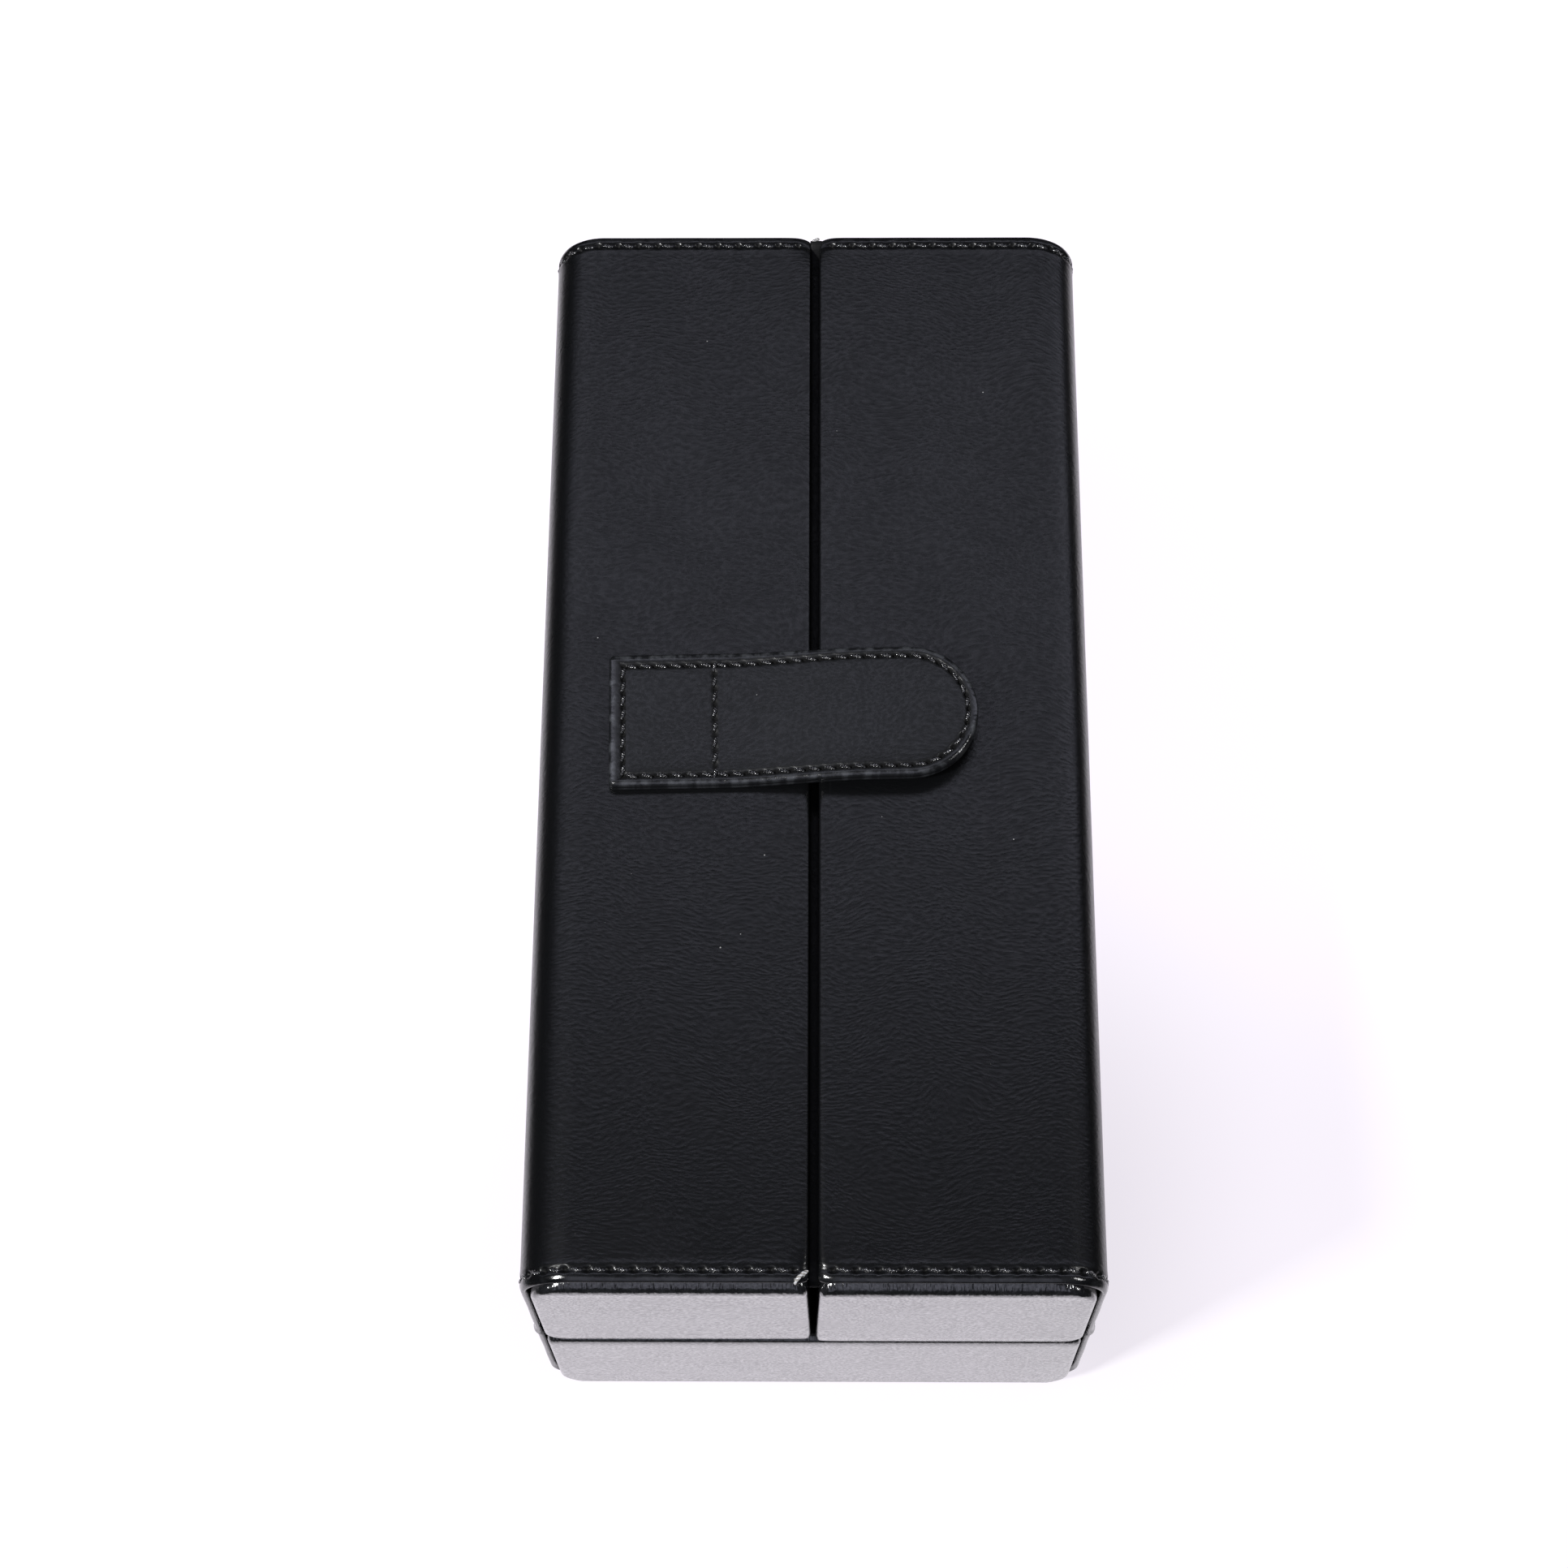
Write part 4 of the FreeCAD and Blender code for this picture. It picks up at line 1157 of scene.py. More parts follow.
def tray_skin(name, node, body, rounds, end_round, rim, drop, ends, lean=0.0, tilt=0.0, lift=0.0):
    """A tray's skin: out over the floor, up the wall, over the rim, a little way down the inside, and back
    behind itself. The floor is rounded by its own radius at either side and at the ends. On the outside
    alone the ends bulge by their own measures, the lids' inner walls lean towards their mouths, and the rim
    drops at the outer corners. A rim's tilt and lift bend the inside by half as much, so that the boards
    stay covered."""
    low, high = corners(node)
    tall = high[2] - low[2]
    up = np.concatenate([[0], round_steps(max(rounds), FLOOR_STEPS), WALL_ROWS * tall, [tall - rim]])
    turn = np.linspace(0, math.pi / 2, RIM_STEPS)
    over_rim = RIM_WIDTH - rim + rim * np.sin(turn)
    rim_in = np.concatenate([rim * (1 - np.cos(turn[1:])), [max(rim, SKIN)], over_rim])
    rim_up = np.concatenate([rim * np.sin(turn[1:]), [rim], rim * np.cos(turn)]) + tall - rim
    turned = RIM_WIDTH - TURNED_THICK
    back_in = np.array([RIM_WIDTH, turned, turned, SKIN])
    back_up = np.array([tall - TURN_IN, tall - TURN_IN, tall - SKIN, tall - SKIN])
    down = np.maximum(np.minimum(up[::-1], tall - UNDER_RIM), SKIN)
    height = np.concatenate([up, rim_up, back_up, down])
    amount = np.concatenate([np.zeros(len(up)), rim_in, back_in, np.full(len(down), SKIN)])
    outside = np.clip(1 - amount / SKIN, 0, 1)
    left, right, end = (bite(height, radius) + amount for radius in (*rounds, end_round))
    row_low = low[:2] + np.stack([left, end - ends[0] * outside], axis=-1)
    row_high = high[:2] - np.stack([right, end - ends[1] * outside], axis=-1)
    close_ends(row_low, row_high)
    radius = np.maximum(WALL_CORNER + CORNER_GROWTH * bite(height, end_round) - amount, LEAST_CORNER)
    radius = np.minimum(radius, (row_high - row_low).min(axis=1) / 2)
    points = stacked(TRAY_RING, row_low, row_high, radius, height)
    x, y = points[..., 0].copy(), points[..., 1]
    share = (x - low[0]) / (high[0] - low[0])
    share = 1 - share if lean < 0 else share
    fall = (height / tall)[:, None]
    outer = [(radius / TRAY_CORNER) ** 2 for radius in rounds]
    across, along, down_wall = DROP_REACH
    corner = outer[0] * bell(x - low[0], across) + outer[1] * bell(high[0] - x, across)
    near_end = bell(np.minimum(y - low[1], high[1] - y), along)
    near_rim = bell(height - tall, down_wall)[:, None]
    outside = outside[:, None]
    dropped = drop * corner * near_end * near_rim * outside
    raised = (tilt * share + lift) * fall * (1 + outside) / 2
    points[..., 0] += lean * share * (fall - LEAN_FROM) * outside
    points[..., 2] -= dropped + raised
    points[..., 2] = low[2] + points[..., 2] if body == "base" else high[2] - points[..., 2]
    near_floor = bell(height - FLOOR_EDGE[0] * end_round, FLOOR_EDGE[1] * end_round)
    edge = np.maximum(near_floor, bell(height - tall, RIM_EDGE))[:, None] * np.ones(points.shape[1])
    return fitted_piece(name, node, points, TRAY_LEATHER, body, {"edge": edge})


LID_TRAY = {"end_round": LID_ROUND, "rim": LID_RIM, "drop": LID_RIM_DROP}
tray_skin("base_tray_skin", "base_wrap", "base", rounds=(TRAY_CORNER, TRAY_CORNER), end_round=BASE_ROUND,
          rim=BASE_RIM, drop=BASE_RIM_DROP, ends=(0.5 * MM, 0.6 * MM))
tray_skin("left_tray_skin", "left_lid_wrap", "left_lid", rounds=(TRAY_CORNER, INNER_CORNER),
          ends=(0.35 * MM, 0.5 * MM), lean=0.5 * MM, tilt=0.5 * MM, lift=0.9 * MM, **LID_TRAY)
tray_skin("right_tray_skin", "right_lid_wrap", "right_lid", rounds=(INNER_CORNER, TRAY_CORNER),
          ends=(0.55 * MM, 0.5 * MM), lean=-0.72 * MM, lift=0.6 * MM, **LID_TRAY)

# %% [markdown]
# ## The velvet linings
# The inside of every tray is lined with short black velvet over a thin pad. It is a closed shell of its
# own, with a soft top edge and a rounded inside corner, so that light slides over the edges as it does on
# real cloth.

# %% Linings
LINING = 0.8 * MM
LINING_EDGE = 0.35 * MM
LINING_CORNER = 1.6 * MM
BACK_ROUND = 0.4 * MM
ROUND_GROWTH = 0.4
ROUND_LIMITS = (0.3 * MM, 1.2 * MM)
LINING_TOP = 7
LINING_TURN = 6
LINING_WALL = np.linspace(0.3, 0.9, 4)
LINING_RING = ring((5, 5, 5, 5), (30, 50, 30, 50))


def lining(name, node, mouth_up, body):
    """A lining: under its floor, up its back, over a round top edge, down its face, in over its floor."""
    low, high = corners(node)
    tall = high[2] - low[2]
    turn = np.linspace(0, math.pi, LINING_TOP)
    top_in = LINING / 2 - LINING / 2 * np.cos(turn)
    top_up = tall - LINING / 2 + LINING / 2 * np.sin(turn)
    back = np.concatenate([[0], [0], [LINING_EDGE], LINING_WALL * tall])
    corner = LINING + round_steps(LINING_CORNER, LINING_TURN)[::-1]
    face = np.concatenate([LINING_WALL[::-1] * tall, corner, [LINING]])
    height = np.concatenate([back, top_up, face])
    face_in = LINING + bite(face - LINING, LINING_CORNER)
    amount = np.concatenate([bite(back, LINING_EDGE), top_in, face_in])
    amount[[0, -1]] = CLOSED
    row_low, row_high = drawn_in(low[:2], high[:2], amount)
    radius = np.clip(BACK_ROUND + amount * ROUND_GROWTH, *ROUND_LIMITS)
    radius = np.minimum(radius, (row_high - row_low).min(axis=1) / 2)
    z = low[2] + height if mouth_up else high[2] - height
    points = stacked(LINING_RING, row_low, row_high, radius, z)
    return fitted_piece(name, node, points, VELVET, body)


lining("base_velvet", "base_lining", True, "base")
lining("left_lid_velvet", "left_lid_lining", False, "left_lid")
lining("right_lid_velvet", "right_lid_lining", False, "right_lid")

# %% [markdown]
# ## Dividers, rail and ring rolls
# The dividers are card in velvet, and the ring rolls are foam in velvet with a round back, pressed side by
# side so that a ring slips between two. All are one soft block: a stack of rounded rectangles whose top
# draws in by a different radius along and across.

# %% Soft blocks
CROWN_STEPS = 9
FOOT_STEPS = 4
SIDE_STEPS = 5
BLOCK_RING = ring((5, 5, 5, 5), (24, 24, 24, 24))


def soft_block(low, high, foot, crown, corner):
    """A block with a rounded foot, whose top draws in along x and y by the two radii of its crown."""
    tall = high[2] - low[2]
    top = max(crown)
    top_up = tall - round_steps(top, CROWN_STEPS)[::-1]
    foot_up = round_steps(foot, FOOT_STEPS)
    side_up = np.linspace(foot, tall - top, SIDE_STEPS)[1:-1]
    height = np.concatenate([[0], foot_up, side_up, top_up, [tall]])
    draw = np.stack([bite(height, foot) + bite(tall - height, radius) for radius in crown], axis=-1)
    row_low, row_high = low[:2] + draw, high[:2] - draw
    close_ends(row_low, row_high)
    radius = np.clip((row_high - row_low).min(axis=1) / 2, 0, corner)
    return stacked(BLOCK_RING, row_low, row_high, radius, low[2] + height)


DIVIDER = {"foot": 0.3 * MM, "crown": (0.95 * MM, 0.95 * MM), "corner": 0.4 * MM}
RAIL = {"foot": 1.2 * MM, "crown": (0.2 * MM, 0.2 * MM), "corner": 1.0 * MM}
STIFF_BLOCKS = {
    "cross_divider": ("base", DIVIDER),
    "long_divider": ("base", DIVIDER),
    "small_divider": ("base", DIVIDER),
    "hook_rail": ("left_lid", RAIL),
}
for node, (body, measures) in STIFF_BLOCKS.items():
    points = soft_block(*corners(node), **measures)
    fitted_piece(f"{node}_velvet", node, points, VELVET, body)

# %% Ring rolls
ROLL_COUNT = 5
ROLL_SLIT = 0.4 * MM
ROLL_END = 3.5 * MM
ROLL_FOOT = 0.6 * MM
ROLL_BACK = 0.98
ROLL_CORNER = 1.5 * MM
rolls_low, rolls_high = corners("ring_rolls")
roll_pitch = (rolls_high[1] - rolls_low[1] + ROLL_SLIT) / ROLL_COUNT
for number in range(ROLL_COUNT):
    low, high = rolls_low.copy(), rolls_high.copy()
    low[1] = rolls_low[1] + number * roll_pitch
    high[1] = low[1] + roll_pitch - ROLL_SLIT
    half = (high[1] - low[1]) / 2
    roll = soft_block(low, high, ROLL_FOOT, (ROLL_END, half * ROLL_BACK), ROLL_CORNER)
    piece = fitted_piece(f"ring_roll_{number + 1}", "ring_rolls", roll, ROLL_VELVET, "base")

# %% [markdown]
# ## Necklace hooks
# Four plated hooks hang from the rail in the left lid, each a wire that turns once and ends in a ball. The
# wire is a circle carried along that line, and its radius grows into the ball at the tip, so wire and ball
# are one surface.

# %% Hooks
HOOK_COUNT = 4
HOOK_WIRE = 1.0 * MM
HOOK_DROP = 5.0 * MM
HOOK_BEND = 2.6 * MM
HOOK_TIP = 2.0 * MM
HOOK_BALL = 1.4 * MM
BEND_STEPS = 25
BALL_STEPS = 11
BALL_FROM = 0.8
WIRE_AROUND = 19


def hook_offsets():
    """One hook: a circle carried down, round a quarter turn and along, then closed as a ball."""
    bend_end = HOOK_DROP + HOOK_BEND * math.pi / 2
    ball = bend_end + HOOK_TIP
    fall = np.linspace(0, HOOK_DROP, 4)
    bend = np.linspace(HOOK_DROP, bend_end, BEND_STEPS)[1:]
    tip = ball + HOOK_BALL * np.cos(np.linspace(math.pi * BALL_FROM, 0, BALL_STEPS))
    s = np.concatenate([[0], fall, bend, tip])[:, None]
    wire = np.where(s < ball, HOOK_WIRE, 0)
    girth = np.maximum(wire, np.sqrt(np.maximum(HOOK_BALL ** 2 - (s - ball) ** 2, 0)))
    girth[0] = 0
    turn = np.clip((s - HOOK_DROP) / HOOK_BEND, 0, math.pi / 2)
    y = HOOK_BEND * (1 - np.cos(turn)) + np.maximum(s - bend_end, 0)
    z = -np.minimum(s, HOOK_DROP) - HOOK_BEND * np.sin(turn)
    around = np.linspace(0, 2 * math.pi, WIRE_AROUND)[None, :]
    x = girth * np.cos(around)
    outward = girth * np.sin(around)
    return np.stack([x, y + outward * np.cos(turn), z + outward * np.sin(turn)], axis=-1)


low, high = corners("necklace_hooks")
hook_x = np.linspace(low[0] + HOOK_BALL, high[0] - HOOK_BALL, HOOK_COUNT)
hook_y = low[1] + HOOK_WIRE
starts = np.stack([hook_x, np.full(HOOK_COUNT, hook_y), np.full(HOOK_COUNT, high[2])], axis=-1)
hooks = starts[:, None, None, :] + hook_offsets()
fitted_piece("necklace_hook_wires", "necklace_hooks", hooks, CHROME, "left_lid")

# %% [markdown]
# ## The necklace pocket
# Below the hooks the chains drop into a pocket of thin velvet, gathered on an elastic along its mouth. A
# cloth simulation could gather it, but the folds of such a small panel are regular, so they are waves that
# grow from the sewn end to the mouth. The elastic is a small tube with the same gathers.

# %% Pocket
GATHERS = 9
GATHER_DEPTH = 0.9 * MM
POCKET_SAG = 1.2 * MM
POCKET_CLOTH = 0.5 * MM
POCKET_HEM = 1.5 * MM
POCKET_SIDE = 0.25 * MM
POCKET_FOOT = 0.3 * MM
WANDER = 0.018
WANDER_RATES = (9, 7)
SECOND_WAVE = 0.35
SECOND_RATE = 2.3
SECOND_SHIFT = 1.0
HELD_SHARE = 0.04
GATHER_GROWTH = 1.5
SAG_SPAN = 0.8
POCKET_GRID = (145, 34)


def gather(u, v):
    """The height of the gathered panel: waves across it that grow towards the mouth, on a shallow sag."""
    wander = WANDER * np.sin(WANDER_RATES[1] * v + WANDER_RATES[0] * u)
    course = 2 * math.pi * GATHERS * (u + wander)
    waves = np.sin(course) + SECOND_WAVE * np.sin(SECOND_RATE * course + SECOND_SHIFT)
    held = np.clip(np.minimum(u, 1 - u) / HELD_SHARE, 0, 1)
    sag = POCKET_SAG * np.sin(math.pi * u) * np.sin(math.pi * v * SAG_SPAN)
    return held * GATHER_DEPTH * v ** GATHER_GROWTH * waves - sag


def pocket_panel():
    """The pocket's thin closed sheet: its gathered face, and the same face a cloth's thickness behind."""
    low, high = corners("necklace_pocket")
    mouth = high[1] - POCKET_HEM
    middle = (low[2] + high[2]) / 2
    u = np.linspace(0, 1, POCKET_GRID[0])[None, :]
    v = np.linspace(0, 1, POCKET_GRID[1])[:, None]
    x = low[0] + POCKET_SIDE + u * (high[0] - low[0] - 2 * POCKET_SIDE) + 0 * v
    y = low[1] + POCKET_FOOT + v * (mouth - low[1] - POCKET_FOOT) + 0 * u
    z = middle + gather(u, v)
    face = np.stack([x, y, z - POCKET_CLOTH / 2], axis=-1)
    back = np.stack([x, y, z + POCKET_CLOTH / 2], axis=-1)
    ends = np.stack([x, y, z], axis=-1)
    sheet = np.concatenate([face, back[:, ::-1], face[:, :1]], axis=1)
    rim = np.concatenate([ends, ends[:, ::-1], ends[:, :1]], axis=1)
    points = np.concatenate([rim[:1], sheet, rim[-1:]], axis=0)
    piece = fitted_piece("gathered_pocket", "necklace_pocket", points, VELVET, "left_lid")
    run = np.hypot(np.diff(x[-1]), np.diff(z[-1])).sum()
    print(f"pocket mouth: {np.ptp(x) / MM:.1f} mm wide, {run / MM:.1f} mm of cloth")
    return piece, run, mouth - low[1]


HEM_PUCKER = 0.16
HEM_PUCKERS = 3 * GATHERS
HEM_GIRTH = POCKET_HEM - 0.35 * MM
HEM_SIDE = 0.2 * MM
HEM_FOLLOWS = 0.35
HEM_ENDS = 60
HEM_GRID = (181, 13)


def pocket_hem():
    """The elastic: a tube across the mouth that follows the gathers, with a girth that puckers too."""
    low, high = corners("necklace_pocket")
    u = np.linspace(0, 1, HEM_GRID[0])[:, None]
    around = np.linspace(0, 2 * math.pi, HEM_GRID[1])[None, :]
    pucker = 1 + HEM_PUCKER * np.cos(2 * math.pi * HEM_PUCKERS * u)
    close = np.sqrt(np.clip(1 - np.abs(2 * u - 1) ** HEM_ENDS, 0, 1))
    girth = HEM_GIRTH * pucker * close
    x = low[0] + HEM_SIDE + u * (high[0] - low[0] - 2 * HEM_SIDE) + 0 * around
    middle = (low[2] + high[2]) / 2
    y = high[1] - POCKET_HEM + girth * np.cos(around)
    z = middle + HEM_FOLLOWS * gather(u, 1.0) + girth * np.sin(around)
    piece = new_piece("pocket_elastic", np.stack([x, y, z], axis=-1), VELVET)
    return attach(piece, "left_lid")


pocket, cloth_width, cloth_length = pocket_panel()
elastic = pocket_hem()

# %% [markdown]
# ## The earring board
# In the right lid a velvet board has short slits for earring posts. Cutting holes with booleans leaves hard
# edges, while velvet rolls softly into a slit. So the face is a height map that sinks steeply at each slit,
# with more grid lines there than between.

# %% Earring board
SLIT_COLUMNS = 3
SLIT_ROWS = 12
SLIT_LENGTH = 5.0 * MM
SLIT_WIDTH = 1.4 * MM
SLIT_DEPTH = 1.9 * MM
EARRING_RAIL = 4.0 * MM
SLIT_SOFT = 0.09 * MM
SLIT_LINES = np.array([-0.35, -0.2, -0.08, 0.05, 0.2, 0.45, 0.9]) * MM
BOARD_EDGE = 0.6 * MM
BOARD_LINES = (9, 30)
LINE_DIGITS = 6


def dense_lines(low, high, centres, half, count):
    """Grid lines from low to high: a few evenly spaced, and more at half a slit from each centre."""
    offsets = np.concatenate([-half + SLIT_LINES, [0], half + SLIT_LINES])
    near = (np.asarray(centres)[:, None] + offsets).ravel()
    lines = np.unique(np.round(np.concatenate([near, np.linspace(low, high, count)[1:-1]]), LINE_DIGITS))
    return np.concatenate([[low], lines, [high]])


def earring_board():
    """The board as a flat loop carried along it: over the face, where the slits sink, and back under it."""
    low, high = corners("earring_board")
    rail_low, rail_high = corners("earring_rails")
    clear_low, clear_high = rail_low[0] + EARRING_RAIL, rail_high[0] - EARRING_RAIL
    column = (clear_high - clear_low) / SLIT_COLUMNS
    row = (high[1] - low[1]) / SLIT_ROWS
    slit_x = clear_low + (np.arange(SLIT_COLUMNS) + 0.5) * column
    slit_y = low[1] + (np.arange(SLIT_ROWS) + 0.5) * row
    x = dense_lines(low[0], high[0], slit_x, SLIT_LENGTH / 2, BOARD_LINES[0])[None, :]
    y = dense_lines(low[1], high[1], slit_y, SLIT_WIDTH / 2, BOARD_LINES[1])[:, None]
    to_x = np.abs(x[..., None] - slit_x).min(axis=-1) - SLIT_LENGTH / 2
    to_y = np.abs(y[..., None] - slit_y).min(axis=-1) - SLIT_WIDTH / 2
    sink = SLIT_DEPTH / (1 + np.exp(np.maximum(to_x, to_y) / SLIT_SOFT))
    from_edge = np.minimum(np.minimum(x - low[0], high[0] - x), np.minimum(y - low[1], high[1] - y))
    full = swelling(from_edge, BOARD_EDGE)
    middle, half = (low[2] + high[2]) / 2, (high[2] - low[2]) / 2
    wide = np.broadcast_to(x, full.shape)
    deep = np.broadcast_to(y, full.shape)
    face = np.stack([wide, deep, middle - half * full + sink], axis=-1)
    back = np.stack([wide, deep, middle + half * full], axis=-1)
    points = np.concatenate([face, back[:, ::-1], face[:, :1]], axis=1)
    fitted_piece("earring_board_velvet", "earring_board", points, VELVET, "right_lid")


def refinish(node, material):
    """Gives a node that keeps its frame shape another finish."""
    node.data.materials.clear()
    node.data.materials.append(material)


earring_board()
refinish(frame["nodes"]["earring_rails"], VELVET)

# %% [markdown]
# ## The strap
# The strap is two leathers sewn together, with a rolled border, a stitched groove and a half-round tip. Its
# left part is sewn to the left lid, and the tongue folds up at a crease. A stack of rounded rectangles with
# different corners gives that outline, and the seam and crease are pressed into its top afterwards.

# %% Strap measures
STRAP_WIDTH = 25.0 * MM
STRAP_PATCH = 18.5 * MM
STRAP_TONGUE = 46.9 * MM
STRAP_THICK = 2.4 * MM
STRAP_LINING = 1.0 * MM
STRAP_CORNER = 1.0 * MM
STRAP_FOOT = 0.35 * MM
STRAP_ROLL = 0.75 * MM
STRAP_MIDDLE = 12.5 * MM
STRAP_RISE = (3.0 * MM, 26.0 * MM)
STRAP_LIFT = 2.6 * MM
STRAP_SEAM_IN = 1.85 * MM
STRAP_PITCH = 2.7 * MM
STRAP_SHIFT = 0.3 * MM
PATCH_WIDER = 0.6 * MM
PATCH_LONGER = 0.7 * MM
PATCH_END = (0.8, 0.9)
PAD_RISE = 0.16 * MM
PAD_FROM = 2.3 * MM
PAD_SOFT = 1.6 * MM
BORDER = (0.08 * MM, 0.95 * MM, 0.5 * MM)
CREASE_SEAM = -0.2 * MM
CREASE_PITCH = 2.95 * MM
CREASE_STITCHES = 8
CREASE_ENDS = (2.4 * MM, 3.0 * MM)
CREASE_FOLD = (-0.3 * MM, 2.5 * MM)
FOLD_DEPTH = 0.12 * MM
FOLD_SOFT = 0.6 * MM
GROOVE_DEPTH = 0.22 * MM
HOLE_DEPTH = 0.55 * MM
SEAM_SOFT = 0.36 * MM
HOLE_SOFT = 0.45 * MM
CREASE_SOFT = 0.45 * MM
CREASE_HOLE = 0.48 * MM
GROOVE_SHADE = 0.7
STRAP_EDGE = (0.45 * MM, 0.4 * MM)
STRAP_STEPS = 6
UNDERSIDE_ROWS = np.arange(12.4, 1.0, -0.4) * MM
TOP_ROWS = np.concatenate([np.arange(0.85, 3.0, 0.13), np.arange(3.1, 12.4, 0.32)]) * MM
JOINT_IN = np.array([0, 0.16, 0.16, 0]) * MM
JOINT_UP = np.array([-0.18, -0.05, 0.05, 0.18]) * MM
STRAP_STITCH = {
    "length": 0.86 * STRAP_PITCH,
    "radius": 0.36 * MM,
    "arch": 0.46 * MM,
    "sink": -0.46 * MM,
    "slant": -0.20 * MM,
}
LOOK_AHEAD = 0.3 * MM
crease = joints["strap_lift"]
crease_turn = math.atan2(crease["axis"][0], -crease["axis"][1])
crease_place = np.array([crease["pos_m"][0], crease["pos_m"][1] + STRAP_SHIFT, CASE_HEIGHT])
strap_low = np.array([-STRAP_PATCH, -STRAP_WIDTH / 2])
strap_high = np.array([STRAP_TONGUE, STRAP_WIDTH / 2])
tip_round = STRAP_WIDTH / 2
strap_radii = np.array([tip_round, STRAP_CORNER, STRAP_CORNER, tip_round])
STRAP_RING = ring((60, 8, 8, 60), (180, 70, 180, 0))
print(f"strap skew {math.degrees(crease_turn):.2f} degrees")

# %% Strap
def on_lids(points):
    """Points drawn from the crease along x, turned by the strap's skew and set on the lids."""
    c, s = math.cos(crease_turn), math.sin(crease_turn)
    turned = points @ np.array([[c, s, 0], [-s, c, 0], [0, 0, 1]])
    return turned + crease_place


def strap_lift(u):
    """How far the tongue's underside is above the lids: level, then a soft rise to the magnets."""
    t = np.clip((u - STRAP_RISE[0]) / (STRAP_RISE[1] - STRAP_RISE[0]), 0, 1)
    return STRAP_LIFT * (0.5 * t + 0.5 * t * t * (3 - 2 * t))


def strap_padding(d):
    """How far the filling lifts the top at a distance from the edge: none at the seam, then a soft rise."""
    return PAD_RISE * (1 - np.exp(-np.maximum(d - PAD_FROM, 0) / PAD_SOFT))


def strap_rows(amount, z):
    """The strap's outline moved in by an amount, one row for each."""
    low, high = drawn_in(strap_low, strap_high, amount)
    radius = np.maximum(strap_radii - amount[:, None], 0)
    return stacked(STRAP_RING, low, high, radius, z)


def seam_length():
    """The distance travelled along the strap's seam at each point of its ring."""
    line = strap_rows(np.array([STRAP_SEAM_IN]), np.zeros(1))[0]
    step = np.linalg.norm(np.diff(line, axis=0), axis=-1)
    return line, np.concatenate([[0], np.cumsum(step)])


def strap_profile():
    """How far in and how high each row of the strap is: from the middle of the underside out to the edge,
    up past the joint of the two leathers, over the rolled border and in across the top. Also which rows
    belong to the top."""
    turn = np.linspace(0, math.pi / 2, STRAP_STEPS)
    inward = np.append(STRAP_MIDDLE, UNDERSIDE_ROWS)
    foot_in = np.concatenate([inward, STRAP_FOOT * (1 - np.sin(turn))])
    foot_up = np.concatenate([0 * inward, STRAP_FOOT * (1 - np.cos(turn))])
    roll_in = STRAP_ROLL * (1 - np.cos(turn))
    roll_up = STRAP_THICK - STRAP_ROLL + STRAP_ROLL * np.sin(turn)
    across = np.append(TOP_ROWS, STRAP_MIDDLE)
    amount = np.concatenate([foot_in, JOINT_IN, roll_in, across])
    flat_up = np.full(len(across), STRAP_THICK)
    height = np.concatenate([foot_up, STRAP_LINING + JOINT_UP, roll_up, flat_up])
    on_top = np.arange(len(amount)) >= len(amount) - len(across) - len(turn) // 2
    return amount, height, on_top


def patch_border(points, u, v, amount):
    """Draws out the border past the seam, at the patch's end and at its far side, less towards the tip."""
    outside = np.clip(1 - amount / STRAP_SEAM_IN, 0, 1)[:, None]
    at_end = np.clip((-u / STRAP_PATCH - PATCH_END[0]) / (PATCH_END[1] - PATCH_END[0]), 0, 1)
    far_side = np.clip(v / STRAP_WIDTH * 4 - 1, 0, 1)
    before_tip = np.clip(1 - u / STRAP_RISE[1], 0, 1)
    points[..., 0] -= PATCH_LONGER * outside * at_end
    points[..., 1] += PATCH_WIDER * outside * far_side * before_tip


def strap():
    """The strap's outline moved in and up along its profile. The top sinks at the seam and the crease, with
    a pit at each needle hole, and is a little padded between. The tongue then rises to the magnets."""
    amount, height, on_top = strap_profile()
    points = strap_rows(amount, height)
    u, v = points[..., 0].copy(), points[..., 1].copy()
    patch_border(points, u, v, amount)
    on_top = on_top[:, None]
    d = amount[:, None]
    _, run = seam_length()
    pitch = run[-1] / round(run[-1] / STRAP_PITCH)
    seam = bell(d - STRAP_SEAM_IN, SEAM_SOFT)
    pits = bell(to_nearest(run, pitch), HOLE_SOFT)[None, :] * seam
    inside = np.clip((d - CREASE_ENDS[0]) / (CREASE_ENDS[1] - CREASE_ENDS[0]), 0, 1)
    cross_seam = inside * bell(u - CREASE_SEAM, CREASE_SOFT)
    cross_pits = cross_seam * bell(to_nearest(v, CREASE_PITCH), CREASE_HOLE)
    fold = FOLD_DEPTH * bell(u - sum(CREASE_FOLD) / 2, FOLD_SOFT)
    rise, border_at, border_soft = BORDER
    border = rise * bell(d - border_at, border_soft)
    sink = GROOVE_DEPTH * (seam + cross_seam) + HOLE_DEPTH * (pits + cross_pits) + fold
    points[..., 2] += on_top * (strap_padding(d) + border - sink)
    points[..., 2] += strap_lift(u)
    edge = bell(d - STRAP_EDGE[0], STRAP_EDGE[1]) * np.ones_like(u)
    # Painted shade: the seam and crease grooves are darkened by a share, and the needle holes made black.
    painted_shade = on_top * np.clip(GROOVE_SHADE * (seam + cross_seam) + pits + cross_pits, 0, 1)
    uv = np.stack([u, v], axis=-1)
    piece = new_piece("strap", on_lids(points), STRAP_LEATHER, uv, {"edge": edge, "painted_shade": painted_shade})
    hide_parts("strap_patch", "strap_patch_lining", "strap_tongue", "strap_tongue_lining")
    return bend_at_crease(piece)


def bend_at_crease(piece):
    """Sets a strap piece's placement into its mesh and returns the piece."""
    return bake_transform(piece)


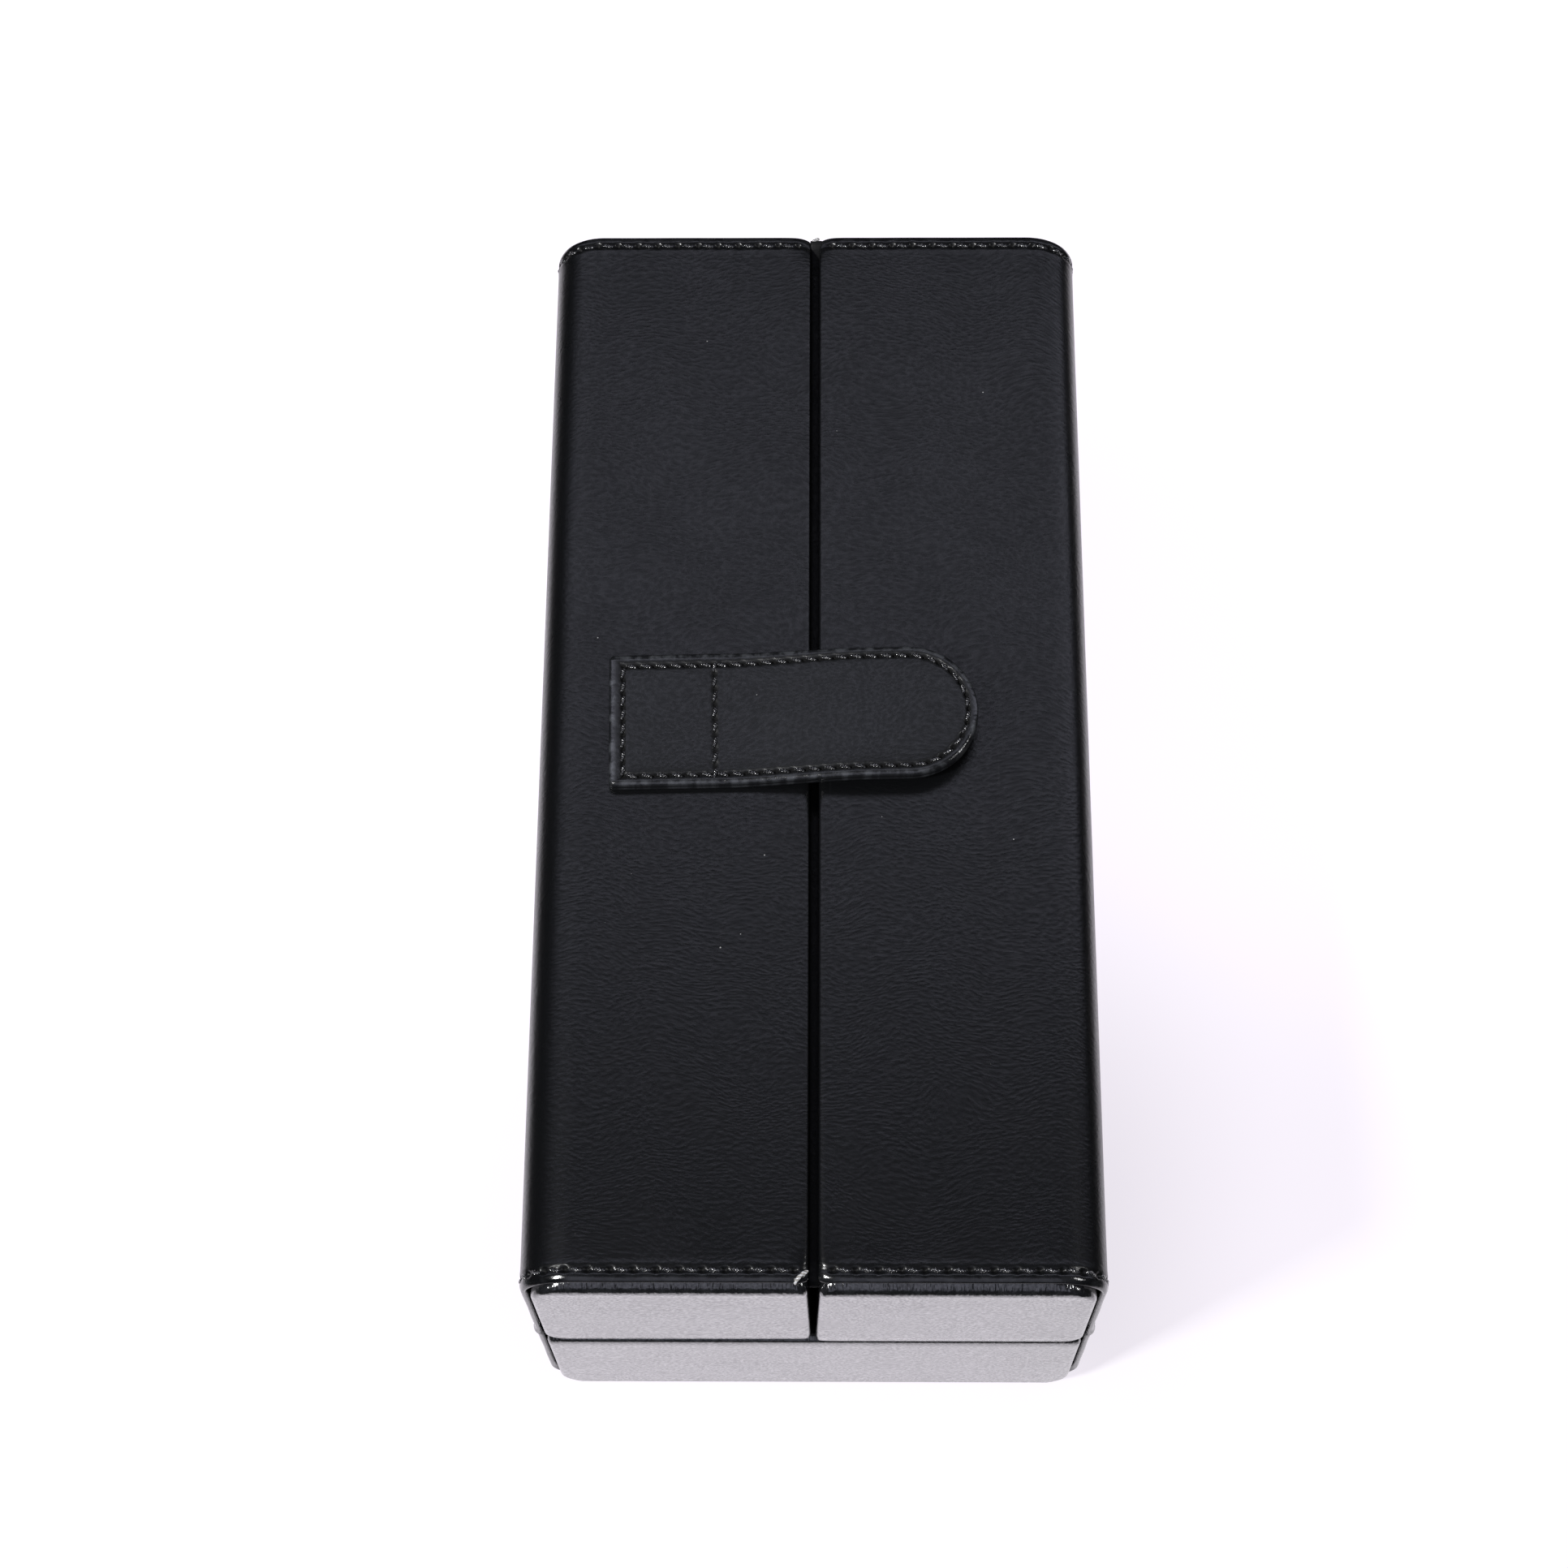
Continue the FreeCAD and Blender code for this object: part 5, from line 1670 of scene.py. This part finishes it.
def strap_stitches():
    """Stitches round the strap's seam and across its crease, each at the height of the leather there."""
    line, run = seam_length()
    count = round(run[-1] / STRAP_PITCH)
    pitch = run[-1] / count
    middle = (np.arange(count) + 0.5) * pitch
    at = np.stack([np.interp(middle, run, line[:, i]) for i in range(2)], axis=-1)
    after = np.stack([np.interp(middle + LOOK_AHEAD, run, line[:, i]) for i in range(2)], axis=-1)
    cross_v = (np.arange(CREASE_STITCHES) + 0.5 - CREASE_STITCHES / 2) * CREASE_PITCH
    at = np.concatenate([at, np.stack([np.full(CREASE_STITCHES, CREASE_SEAM), cross_v], axis=-1)])
    after = np.concatenate([after, at[count:] + np.array([0, LOOK_AHEAD])])
    slope = (strap_lift(after[:, 0]) - strap_lift(at[:, 0]))[:, None]
    ahead = np.concatenate([after - at, slope], axis=1)
    ahead /= np.linalg.norm(ahead, axis=1, keepdims=True)
    across = np.stack([-ahead[:, 1], ahead[:, 0], 0 * ahead[:, 0]], axis=-1)
    across /= np.linalg.norm(across, axis=1, keepdims=True)
    up = np.cross(ahead, across)
    from_side = strap_high[1] - np.abs(at[:, 1])
    on_patch = np.where(np.arange(len(at)) < count, 0, strap_padding(from_side))
    place = np.concatenate([at, (STRAP_THICK + strap_lift(at[:, 0]) + on_patch)[:, None]], axis=1)
    points = on_lids(set_down(spindle(**STRAP_STITCH), place, ahead, across, up))
    piece = new_piece("strap_stitches", points, BLACK_THREAD, STITCH_UV)
    return bend_at_crease(piece)


strap()
strap_stitches()

# %% [markdown]
# ## The magnets
# One magnet sits in a nickel cup in the tongue and another on the right lid. A cup is a circle, which is a
# rounded rectangle with nothing left between its corners, so the stack helper makes it too, with a raised
# rim round the magnet.

# %% Magnets
CUP_EDGE = 0.25 * MM
CUP_RIM = 1.0 * MM
CUP_RECESS = 0.2 * MM
CUP_STEP = 0.15 * MM
CUP_TURN = 5
CUP_RING = ring((13, 13, 13, 13), (0, 0, 0, 0))


def magnet_cup(name, node, faces_up, body):
    """A round cup: flat back, rounded edge, a rim, and the magnet's face set a little lower."""
    low, high = corners(node)
    radius = (high[0] - low[0]) / 2
    tall = high[2] - low[2]
    turn = np.linspace(0, math.pi / 2, CUP_TURN)
    edge_in, edge_up = CUP_EDGE * (1 - np.sin(turn)), CUP_EDGE * (1 - np.cos(turn))
    face_in = np.array([CUP_RIM - CUP_STEP, CUP_RIM, CUP_RIM + CUP_STEP, CUP_RIM + 2 * CUP_STEP, radius])
    face_up = tall - CUP_RECESS * np.array([0, 0, 1, 1, 1])
    flat = CUP_EDGE + CUP_STEP
    amount = np.concatenate([[radius, flat], edge_in, edge_in[::-1], [flat], face_in])
    height = np.concatenate([[0, 0], edge_up, tall - edge_up[::-1], [tall], face_up])
    row_low, row_high = drawn_in(low[:2], high[:2], amount)
    z = low[2] + height if faces_up else high[2] - height
    points = stacked(CUP_RING, row_low, row_high, radius - amount, z)
    fitted_piece(name, node, points, NICKEL, body)


magnet_cup("lid_magnet_cup", "lid_magnet", True, "right_lid")
magnet_cup("strap_magnet_cup", "strap_magnet", False, "strap")

# %% [markdown]
# ## The card boards
# The boards stiffen the trays and are hidden between skin and velvet. Their frame shapes are right as they
# are, so they only get a card finish.

# %% Boards
boards = [node for name, node in frame["nodes"].items() if name.endswith("_board") and not node.hide_render]
for board in boards:
    refinish(board, CARD)
print("boards:", len(boards))
